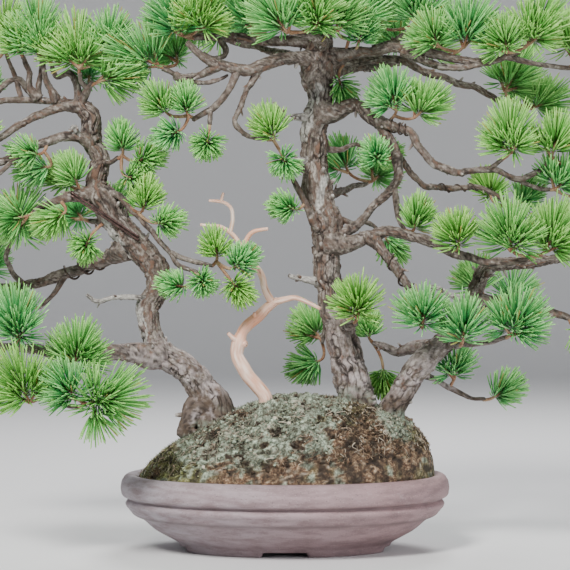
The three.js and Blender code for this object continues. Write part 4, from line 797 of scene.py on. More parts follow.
# %% Branches
BRANCHES = {
    "root_left_down": [(-70, 0, 108, 22), (-90, -26, 84, 14), (-104, -44, 58, 7)],
    "root_left_flare": [(-78, -2, 146, 26), (-92, -8, 136, 20), (-101, -14, 112, 13)],
    "root_right_down": [(80, 0, 104, 22), (62, 34, 78, 13), (50, 54, 54, 7)],
    "root_main_flare": [(74, 0, 150, 22), (84, -12, 140, 16), (92, -24, 120, 11)],
    "low_left": [
        (-124, -10, 196, 24), (-145, -22, 195, 20), (-180, -38, 197, 16), (-225, -52, 197, 12),
        (-258, -64, 200, 9),
    ],
    "left_top_one": [
        (-203, 8, 443, 11), (-228, 0, 441, 8.5), (-245, -6, 434, 8), (-265, -14, 424, 7.5),
        (-285, -22, 411, 6.5), (-310, -28, 398, 5),
    ],
    "left_top_two": [(-204, 8, 445, 10), (-226, 18, 447, 8), (-246, 25, 449, 7)],
    "left_high": [
        (-193, 11, 407, 14), (-210, 2, 413, 10.5), (-240, -14, 407, 9), (-270, -26, 392, 8),
        (-285, -30, 386, 7), (-312, -36, 377, 5),
    ],
    "left_high_stub": [(-208, 3, 413, 8), (-211, -5, 423, 6.5)],
    "left_middle": [(-188, 8, 355, 16), (-202, 1, 354, 13), (-218, -10, 353, 10.5)],
    "left_back": [
        (-158, 7, 300, 18), (-178, 22, 291, 14.5), (-200, 34, 281, 13.5), (-225, 44, 272, 12),
        (-255, 56, 264, 10),
    ],
    "left_dead_stub": [
        (-133, -6, 251, 10), (-145, -16, 251, 6.5), (-167, -22, 252, 5.5), (-188, -27, 248, 5),
        (-197, -29, 255, 4.5),
    ],
    "left_rear": [(-150, 6, 304, 16), (-158, 42, 314, 10), (-176, 82, 322, 7.5), (-196, 112, 328, 5)],
    "crown_left_upper": [
        (34, 9, 507, 16), (16, 5, 508, 12), (-15, 0, 509, 11), (-52, -8, 512, 9.5), (-90, -16, 511, 7),
    ],
    "crown_left_lower": [
        (32, 6, 492, 16), (12, -7, 491, 13), (-12, -17, 488, 12), (-38, -26, 478, 11.5),
        (-68, -34, 485, 10), (-88, -38, 497, 7.5), (-98, -38, 507, 5.5),
    ],
    "crown_left_hanging": [
        (-24, -20, 482, 8), (-36, -22, 463, 6), (-44, -24, 444, 5.5), (-50, -25, 426, 5.2),
        (-38, -19, 413, 4.8), (-16, -14, 409, 4.5),
    ],
    "crown_left_far": [(-66, -33, 484, 9), (-86, -24, 473, 7), (-106, -15, 474, 6), (-122, -10, 480, 5)],
    "crown_right_upper": [
        (38, 8, 490, 17), (80, -4, 497, 11), (115, -14, 501, 10), (150, -21, 495, 9), (185, -28, 487, 8),
        (205, -31, 485, 7),
    ],
    "crown_right_upper_twig": [(90, -7, 499, 8), (112, 2, 510, 6), (128, 4, 520, 4.5)],
    "crown_right_lower": [
        (38, 12, 486, 16), (70, 26, 488, 10), (110, 38, 489, 8.5), (140, 47, 477, 8), (175, 56, 465, 7.5),
        (202, 60, 456, 6.5), (222, 60, 442, 5.5), (242, 57, 440, 4.8),
    ],
    "crown_rear_left": [(34, 9, 482, 18), (10, 46, 492, 11), (-20, 84, 500, 8), (-54, 112, 508, 5.5)],
    "crown_rear_right": [(35, 9, 474, 18), (64, 46, 480, 11), (100, 84, 484, 8), (138, 108, 490, 5.5)],
    "crown_front": [(35, 7, 504, 15), (38, -34, 508, 9), (26, -66, 512, 6.5), (6, -88, 516, 4.8)],
    "mid_right": [
        (34, 6, 436, 20), (56, -2, 438, 15), (70, -7, 444, 13.5), (86, -13, 433, 12.5), (97, -17, 421, 12),
        (107, -21, 406, 11), (112, -22, 392, 9.5),
    ],
    "mid_right_down": [
        (112, -22, 394, 9), (113, -20, 370, 9), (102, -12, 355, 8.5), (88, -6, 342, 8.5), (76, -2, 328, 9),
        (50, 2, 312, 12),
    ],
    "mid_right_far": [
        (93, -16, 427, 11), (112, -27, 421, 8.8), (127, -33, 417, 8.2), (135, -38, 401, 8),
        (150, -42, 385, 8), (180, -46, 376, 7.2),
    ],
    "mid_right_near": [
        (110, -22, 394, 8), (122, -13, 383, 6.6), (138, -3, 364, 6.2), (168, 4, 360, 5.8),
        (195, 8, 360, 5.2), (222, 10, 348, 4.4),
    ],
    "low_right": [
        (44, 2, 306, 20), (66, -7, 306, 15), (84, -14, 312, 13.5), (104, -24, 319, 11.5),
        (135, -34, 310, 10), (162, -42, 299, 9.2),
    ],
    "low_right_grey": [
        (84, -14, 313, 12), (97, -27, 299, 10.5), (114, -41, 277, 9.5), (127, -52, 256, 8.5),
        (137, -62, 236, 6.5),
    ],
    "right_lower": [(188, 4, 247, 15), (215, -4, 249, 11), (240, -11, 247, 10), (265, -18, 237, 9)],
    "right_lower_stub": [(236, -10, 247, 7), (238, -15, 257, 4.5)],
    "right_dead_stub": [(186, 2, 248, 10), (174, -8, 252, 6.8), (162, -14, 257, 5.6), (145, -19, 262, 4.4)],
    "right_inner": [
        (150, -11, 198, 17), (131, 5, 201, 12), (112, 16, 196, 10), (98, 24, 203, 7.5), (88, 29, 206, 5.5),
    ],
    "right_rear": [(172, -4, 224, 16), (184, 36, 234, 10), (200, 76, 240, 7.5), (218, 106, 246, 5)],
    "main_rear_low": [(50, 4, 236, 14), (46, 34, 232, 8), (40, 54, 222, 6), (37, 60, 206, 4.5)],
    "main_rear_middle": [(36, 6, 347, 16), (46, 42, 354, 10), (62, 80, 360, 7.5), (82, 110, 366, 5)],
    "main_dead_high": [(30, 6, 430, 11), (6, -1, 431, 7), (-15, -5, 427, 5.8), (-35, -8, 424, 4.6)],
    "main_dead_high_twig": [(0, -2, 430, 5.5), (-5, -9, 439, 4.2), (-12, -12, 447, 3.4)],
    "main_dead_middle": [(26, 4, 390, 9), (10, -6, 388, 6.4), (0, -9, 387, 4.6)],
    "main_dead_low": [(38, 0, 266, 9), (18, -8, 270, 6), (3, -10, 273, 4.4)],
}

# Thinner limbs that the coarse model leaves out: the knot of stems at the far left, a looped twig in
# the crown, and the second arm of the right crown branch.
FINE_LIMBS = [
    [(-247, 24, 450, 9), (-254, 20, 463, 7), (-257, 14, 478, 6), (-262, 8, 492, 5)],
    [(-228, 19, 448, 9), (-233, 16, 457, 7.5), (-240, 10, 471, 6.5), (-242, 6, 489, 5)],
    [(-205, 8, 446, 9), (-209, 12, 467, 7), (-217, 13, 476, 6.5), (-228, 12, 472, 6), (-234, 10, 484, 5)],
    [(-248, 25, 450, 8), (-257, 30, 459, 7), (-267, 32, 469, 6.5), (-277, 33, 467, 6), (-289, 34, 455, 5)],
    [
        (-52, -8, 512, 9), (-62, -14, 510, 7), (-58, -17, 501, 6.5), (-60, -18, 494, 6), (-70, -16, 492, 5),
        (-82, -14, 497, 3),
    ],
    [
        (118, -14, 500, 9), (143, -22, 487, 8), (170, -28, 481, 7), (195, -30, 483, 6), (215, -30, 489, 5),
        (236, -28, 497, 4),
    ],
    [(-110, -18, 474, 6), (-93, -26, 467, 5.5), (-73, -28, 466, 5), (-57, -26, 473, 3)],
    [(48, 6, 331, 8), (66, 12, 325, 6.5), (84, 22, 326, 4.5), (96, 28, 318, 3)],
    [(32, 7, 402, 8), (54, 16, 399, 6), (70, 26, 404, 4), (80, 30, 398, 2.8)],
]

# %% [markdown]
# ### Bark in plates
#
# Old white-pine bark splits along the limb into plates that overlap like scales. Cells of noise,
# drawn out along the limb, give the plates: each has its own level, its lower end stands off, and
# the border between two cells is a crack. The relief is real geometry rather than bump, because the
# trunk's outline has to be ragged too. Thin limbs get smaller and flatter plates.

# %% Bark relief


def bark_tube(rows, step, columns, plate, relief, seed, flare=0.0, dead_strips=()):
    """Rings of radius * (1 + flare * exp(-(s / 2r)^2)) + relief * (level + tilt - crack) + gnarl."""
    points, radius, distance = limb_path(rows, step)
    on_bark = unrolled(radius, distance + 300.0 * seed, columns)
    sway = [soft_noise(on_bark, plate * 1.5, seed + axis) for axis in range(3)]
    bent = on_bark * (1, 1, 0.19) + plate * 0.75 * np.stack(sway, axis=1)
    gap, tone, rise = cell_noise(bent, plate, seed)[1:]
    flake_gap, flake_tone, flake_rise = cell_noise(bent, plate * 0.42, seed + 40)[1:]
    fibre = soft_noise(on_bark * (1, 1, 0.12), 1.4, seed + 5) + 0.6 * soft_noise(on_bark, 2.4, seed + 6)
    deep = step_up(soft_noise(on_bark * (1, 1, 0.5), plate * 1.8, seed + 8), -0.35, 0.35)
    crack = (1 - step_up(gap, 0.01, 0.2)) * (0.25 + 0.75 * deep)
    level = 1.0 * (tone - 0.5) + 0.9 * rise - 1.2 * crack + 0.34 * fibre
    level += 0.7 * (flake_tone - 0.5) + 0.6 * flake_rise - 0.3 * (1 - step_up(flake_gap, 0, 0.25))
    gnarl = 0.12 * soft_noise(on_bark, 15, seed + 7) + 0.05 * soft_noise(on_bark, 6, seed + 9)
    shape = (len(points), columns)
    base = radius * (1 + flare * np.exp(-((distance / (2 * radius[0])) ** 2)))
    reach = base[:, None] * (1 + gnarl.reshape(shape)) + relief * level.reshape(shape)
    surface, faces = tube(points, np.maximum(reach, 0.35 * radius[:, None]))
    poled = lambda values: np.append(values, [values[:columns].mean(), values[-columns:].mean()])
    crept = mound_height(surface) + 15 + 16 * soft_noise(surface, 9, 3) - surface[:, 2]
    # The depth darkens the cracks and the flakes' edges: partly the dark inner bark, partly painted shade.
    numbers = {
        "depth": poled(np.clip(0.9 * crack + 0.3 * (1 - step_up(flake_gap, 0, 0.2)), 0, 1)),
        "tone": poled(0.5 * tone + 0.5 * flake_tone),
        "hue": poled(0.5 + 0.4 * fibre),
        "mossy": step_up(crept, 0, 26),
        "dead": bare_strips(surface, dead_strips),
    }
    return shell(surface, faces, **numbers)


def bare_strips(points, strips):
    """1 within a strip's half width of its line as seen from the front, ragged at the edge."""
    farther = 1 + points[:, 1] / EYE_DISTANCE
    across = points[:, 0] / farther
    up = EYE_HEIGHT + (points[:, 2] - EYE_HEIGHT) / farther
    inside = np.zeros(len(points))
    for (x1, z1), (x2, z2), half_width in strips:
        run, climb = x2 - x1, z2 - z1
        along = ((across - x1) * run + (up - z1) * climb) / (run**2 + climb**2)
        along = np.clip(along, 0, 1)
        away = np.hypot(across - x1 - along * run, up - z1 - along * climb)
        ragged = half_width * (1 + 0.7 * soft_noise(points, 5, 77))
        inside = np.maximum(inside, step_up(ragged - away, -1, 1) * (points[:, 1] < 12))
    return inside


MOUND_EDGE_HEIGHT, MOUND_TOP_HEIGHT = 70, 149
MOUND_HALF_LENGTH, MOUND_HALF_DEPTH = 144, 106
MOSS_THICKNESS = 3.4


def dome_height(out, angle):
    """edge + rise * (1 - out^fullness)^(1 / fullness), from out = 0 at the top to 1 at the edge."""
    fullness = 1.95 + 0.6 * np.cos(angle)
    up = np.clip(1 - np.minimum(out, 1) ** fullness, 0, 1) ** (1 / fullness)
    return MOUND_EDGE_HEIGHT + (MOUND_TOP_HEIGHT - MOUND_EDGE_HEIGHT + MOSS_THICKNESS) * up


def mound_height(points):
    """The mound's height at a place, and 0 outside the mound."""
    x, y = points[:, 0], points[:, 1]
    angle = np.arctan2(y / MOUND_HALF_DEPTH, x / MOUND_HALF_LENGTH)
    half_length = MOUND_HALF_LENGTH + 2 * np.cos(angle) + MOSS_THICKNESS
    out = np.hypot(x / half_length, y / (MOUND_HALF_DEPTH + MOSS_THICKNESS))
    return np.where(out < 1, dome_height(out, angle), 0)


LEFT_STRIPS = [((-180, 327), (-155, 284), 4), ((-148, 249), (-140, 204), 3.5)]
MAIN_STRIPS = [((33, 461), (18, 414), 5), ((40, 372), (33, 340), 3)]
left_trunk = bark_tube(TRUNKS["left_trunk"], 1.35, 88, 5.6, 1.2, 1, 0.15, LEFT_STRIPS)
main_trunk = bark_tube(TRUNKS["main_trunk"], 1.25, 104, 6.2, 1.4, 2, 0.15, MAIN_STRIPS)
right_trunk = bark_tube(TRUNKS["right_trunk"], 1.4, 72, 5, 0.95, 3, 0.15)
common_root = bark_tube(TRUNKS["common_root"], 2.2, 72, 6, 1.4, 4)
branch_shells = [
    bark_tube(rows, 1.9, 16 if rows[0][3] < 12 else 26, 3.4, 0.5, 10 + number, 0.45)
    for number, rows in enumerate(BRANCHES.values())
]
for name, one in zip(BRANCHES, branch_shells):
    if "dead" in name or "stub" in name:
        one["values"]["dead"] = np.full(len(one["points"]), 0.9)
for order, rows in enumerate(FINE_LIMBS):
    branch_shells.append(bark_tube(rows, 2, 16, 3.4, 0.5, 70 + order, 0.45))
print(len(branch_shells), "branches")

# %% [markdown]
# ### Broken twigs
#
# Twigs that were pruned or died leave spurs a few millimetres long all over the limbs, most of them
# with a pale broken end. Each is a small cone that leans forward along its limb, at a chance place
# and turn.

# %% Spurs


CHANCE_TURN = 6.3  # a whole turn in radians, roughly, for turns that chance decides


def spurs_on(rows, count, seed):
    points, radius = limb_path(rows, 3)[:2]
    direction, side, other = frame_along(points)
    made = []
    for where, turn, length, lean, fat in draws(count, seed, 5):
        place = 3 + int(where * (len(points) - 5))
        out = turned(side[place], other[place], CHANCE_TURN * turn)
        way = unit(out + direction[place] * (0.3 + 0.8 * lean))
        start = points[place] + out * radius[place] * 0.7
        reach = radius[place] * 0.3 + 2.5 + 6 * length**2
        path = start + way * (np.linspace(0, 1, 4) * reach)[:, None]
        width = (0.8 + 0.9 * fat) * min(1.6, 0.5 + radius[place] / 9) * np.array([1.5, 1.1, 1, 0.7])
        broken = np.append(np.repeat([0, 0, 0.3, 1], 6), [0, 1])
        made.append(plain_tube(path, width, 6, dead=broken * (0.5 + 0.5 * turn), tone=lean))
    return made


left_pieces = [left_trunk, *spurs_on(TRUNKS["left_trunk"], 22, 500)]
main_pieces = [main_trunk, *spurs_on(TRUNKS["main_trunk"], 26, 510)]
right_pieces = [right_trunk, common_root, *spurs_on(TRUNKS["right_trunk"], 18, 520)]
for order, rows in enumerate(BRANCHES.values()):
    branch_shells += spurs_on(rows, 4, 530 + order)
add_piece("left_trunk", left_pieces, [bark], "pine_wood")
add_piece("main_trunk", main_pieces, [bark], "pine_wood")
add_piece("right_trunk_and_root", right_pieces, [bark], "pine_wood")
add_piece("branches", branch_shells, [bark], "pine_wood")

# %% [markdown]
# ## The bare stem
#
# The stem in the middle is old deadwood: its bark is long gone, the weather has polished it, and its
# grain runs along every bend. A smooth tube does it, with a tone from noise that is drawn out ten
# times along the grain, and shallow checks where the same noise is low. The checks are darker, partly
# from the browner wood inside them and partly from painted shade.

# %% Bare stem
BARE_STEM = {
    "stem": [
        (-14, -12, 127, 15), (-18, -13, 142, 15), (-20, -14, 152, 14), (-30, -16, 164, 14),
        (-42, -18, 179, 14), (-47, -18, 194, 12.5), (-47, -18, 206, 14.5), (-44, -18, 215, 10.5),
        (-38, -16, 224, 11), (-27, -14, 234, 11), (-15, -12, 244, 10), (-7, -12, 249, 7.5),
    ],
    "right_arm": [
        (-12, -12, 247, 8), (0, -14, 249.5, 6.2), (12, -18, 251, 5.2), (24, -21, 246, 4.4),
        (35, -25, 241, 3.2),
    ],
    "left_arm": [
        (-12, -12, 246, 8.5), (-20, -12, 261, 7), (-22, -12, 271, 6.6), (-27, -13, 280, 6.4),
        (-38, -14, 288, 6.2), (-40, -15, 302, 5.8),
    ],
    "fork_right": [(-40, -15, 298, 5.8), (-38, -17, 309, 5), (-32, -19, 317, 4.4), (-18, -22, 320, 3.2)],
    "fork_left": [
        (-40, -15, 298, 5.8), (-46, -13, 307, 4.8), (-54, -12, 317, 4.4), (-64, -9, 322, 3.8),
        (-85, -5, 325, 2.8),
    ],
    "fork_top": [
        (-54, -12, 316, 4.4), (-52, -14, 330, 3.8), (-55, -15, 342, 3.5), (-66, -16, 348, 3.2),
        (-75, -17, 350, 2.6),
    ],
    "fork_tip": [(-64, -16, 347, 3.2), (-61, -18, 357, 2.6)],
    "lower_spur": [(-46, -18, 206, 8), (-51, -22, 210, 5.4), (-57, -25, 216, 3.4)],
    "knob": [(-46, -18, 205, 9), (-39, -22, 205, 6.5)],
    "upper_spur": [(-32, -15, 229, 6), (-31, -20, 237, 3.4)],
}


def grained_tube(rows, columns, seed):
    """Rings of radius * (1 + 0.07 * noise) whose tone is a noise stretched along the limb."""
    points, radius, distance = limb_path(rows, 1.6)
    on_wood = unrolled(radius, distance / 11, columns)
    grain = soft_noise(on_wood, 1.1, seed) + 0.5 * soft_noise(on_wood, 0.5, seed + 1)
    swell = soft_noise(on_wood * (1, 1, 1.2), 4, seed + 2)
    shape = (len(points), columns)
    checks = step_up(-grain, 0.65, 1.1)
    reach = radius[:, None] * (1 + 0.07 * swell.reshape(shape))
    reach = reach + 0.12 * grain.reshape(shape) - 0.35 * checks.reshape(shape)
    surface, faces = tube(points, reach)
    poled = lambda values: np.append(values, [0.5, 0.5])
    # The depth darkens the checks: partly the browner wood inside them, partly painted shade.
    return shell(surface, faces, tone=poled(0.5 + 0.4 * grain), depth=poled(0.6 * checks))


bare_shells = [
    grained_tube(rows, 44 if name == "stem" else 18, 90 + number)
    for number, (name, rows) in enumerate(BARE_STEM.items())
]
add_piece("bare_stem_wood", bare_shells, [bare_wood], "bare_stem")

# %% [markdown]
# ## Training wire
#
# Wire is wound round a branch to set its bend, three or so turns at about two millimetres thick, and
# two straight rods brace the left branch against its trunk. A coil is a tube along a spiral: the
# limb's own path, stepped out by its radius and turned round it.

# %% Wire
COILS = {
    "coil_left_back_branch": ("left_back", 0.3, 0.72, 3, 2.2),
    "coil_mid_right_far_branch": ("mid_right_far", 0.1, 0.38, 3, 1.8),
    "coil_mid_right_near_branch": ("mid_right_near", 0.5, 0.8, 3, 1.6),
    "coil_low_right_branch": ("low_right_grey", 0.3, 0.7, 2.5, 2),
}
STEPS_PER_TURN = 28
RODS = {
    "stay_rod_upper": [(-214, -13.5, 357), (-146, -7.3, 312)],
    "stay_rod_lower": [(-214, -15.1, 353.6), (-146, -8, 308.6)],
}
ROD_WIDTH = 2.4


def coil(limb, start, end, turns, wire):
    """centre(s) + (1.04 r + wire / 2) * (side cos a + other sin a), with a = 2 pi turns s."""
    rows = BRANCHES[limb]
    part = np.linspace(0, 1, int(turns * STEPS_PER_TURN) + 1)
    along = (start + (end - start) * part) * (len(rows) - 1)
    centre = crooked(smooth_curve(seen(rows), along))
    radius = np.interp(along, np.arange(len(rows)), [row[3] / 2 for row in rows])
    direction = unit(np.gradient(centre, axis=0))
    side = unit(np.array([0, 1, 0]) - direction[:, 1:2] * direction)
    out = turned(side, np.cross(direction, side), 2 * np.pi * turns * part)
    return plain_tube(centre + (radius * 1.04 + wire / 2)[:, None] * out, wire / 2, 10)


for node, turns in COILS.items():
    add_piece(node + "_wire", [coil(*turns)], [dark_wire], node)
for node, ends in RODS.items():
    one, two = seen(ends)
    rod = plain_tube(one + (two - one) * np.linspace(0, 1, 24)[:, None], ROD_WIDTH / 2, 12)
    add_piece(node + "_wire", [rod], [steel_wire], node)

# %% [markdown]
# ## Sprays of needles
#
# White pine carries its needles in bundles of five, and the bundles crowd round the last
# centimetres of each shoot: at the tuft's rear they stand square to the shoot, at its tip they point
# forward. A spray below is a few twigs, and then rows of shoots. A shoot row is the place where it
# leaves the wood and its tufts: across, back, up, the angle it aims at as seen from the front (0
# right, 90 up), its tilt towards the eye, and the length of its needles. The names are those of the
# CAD model's nodes without the word spray.

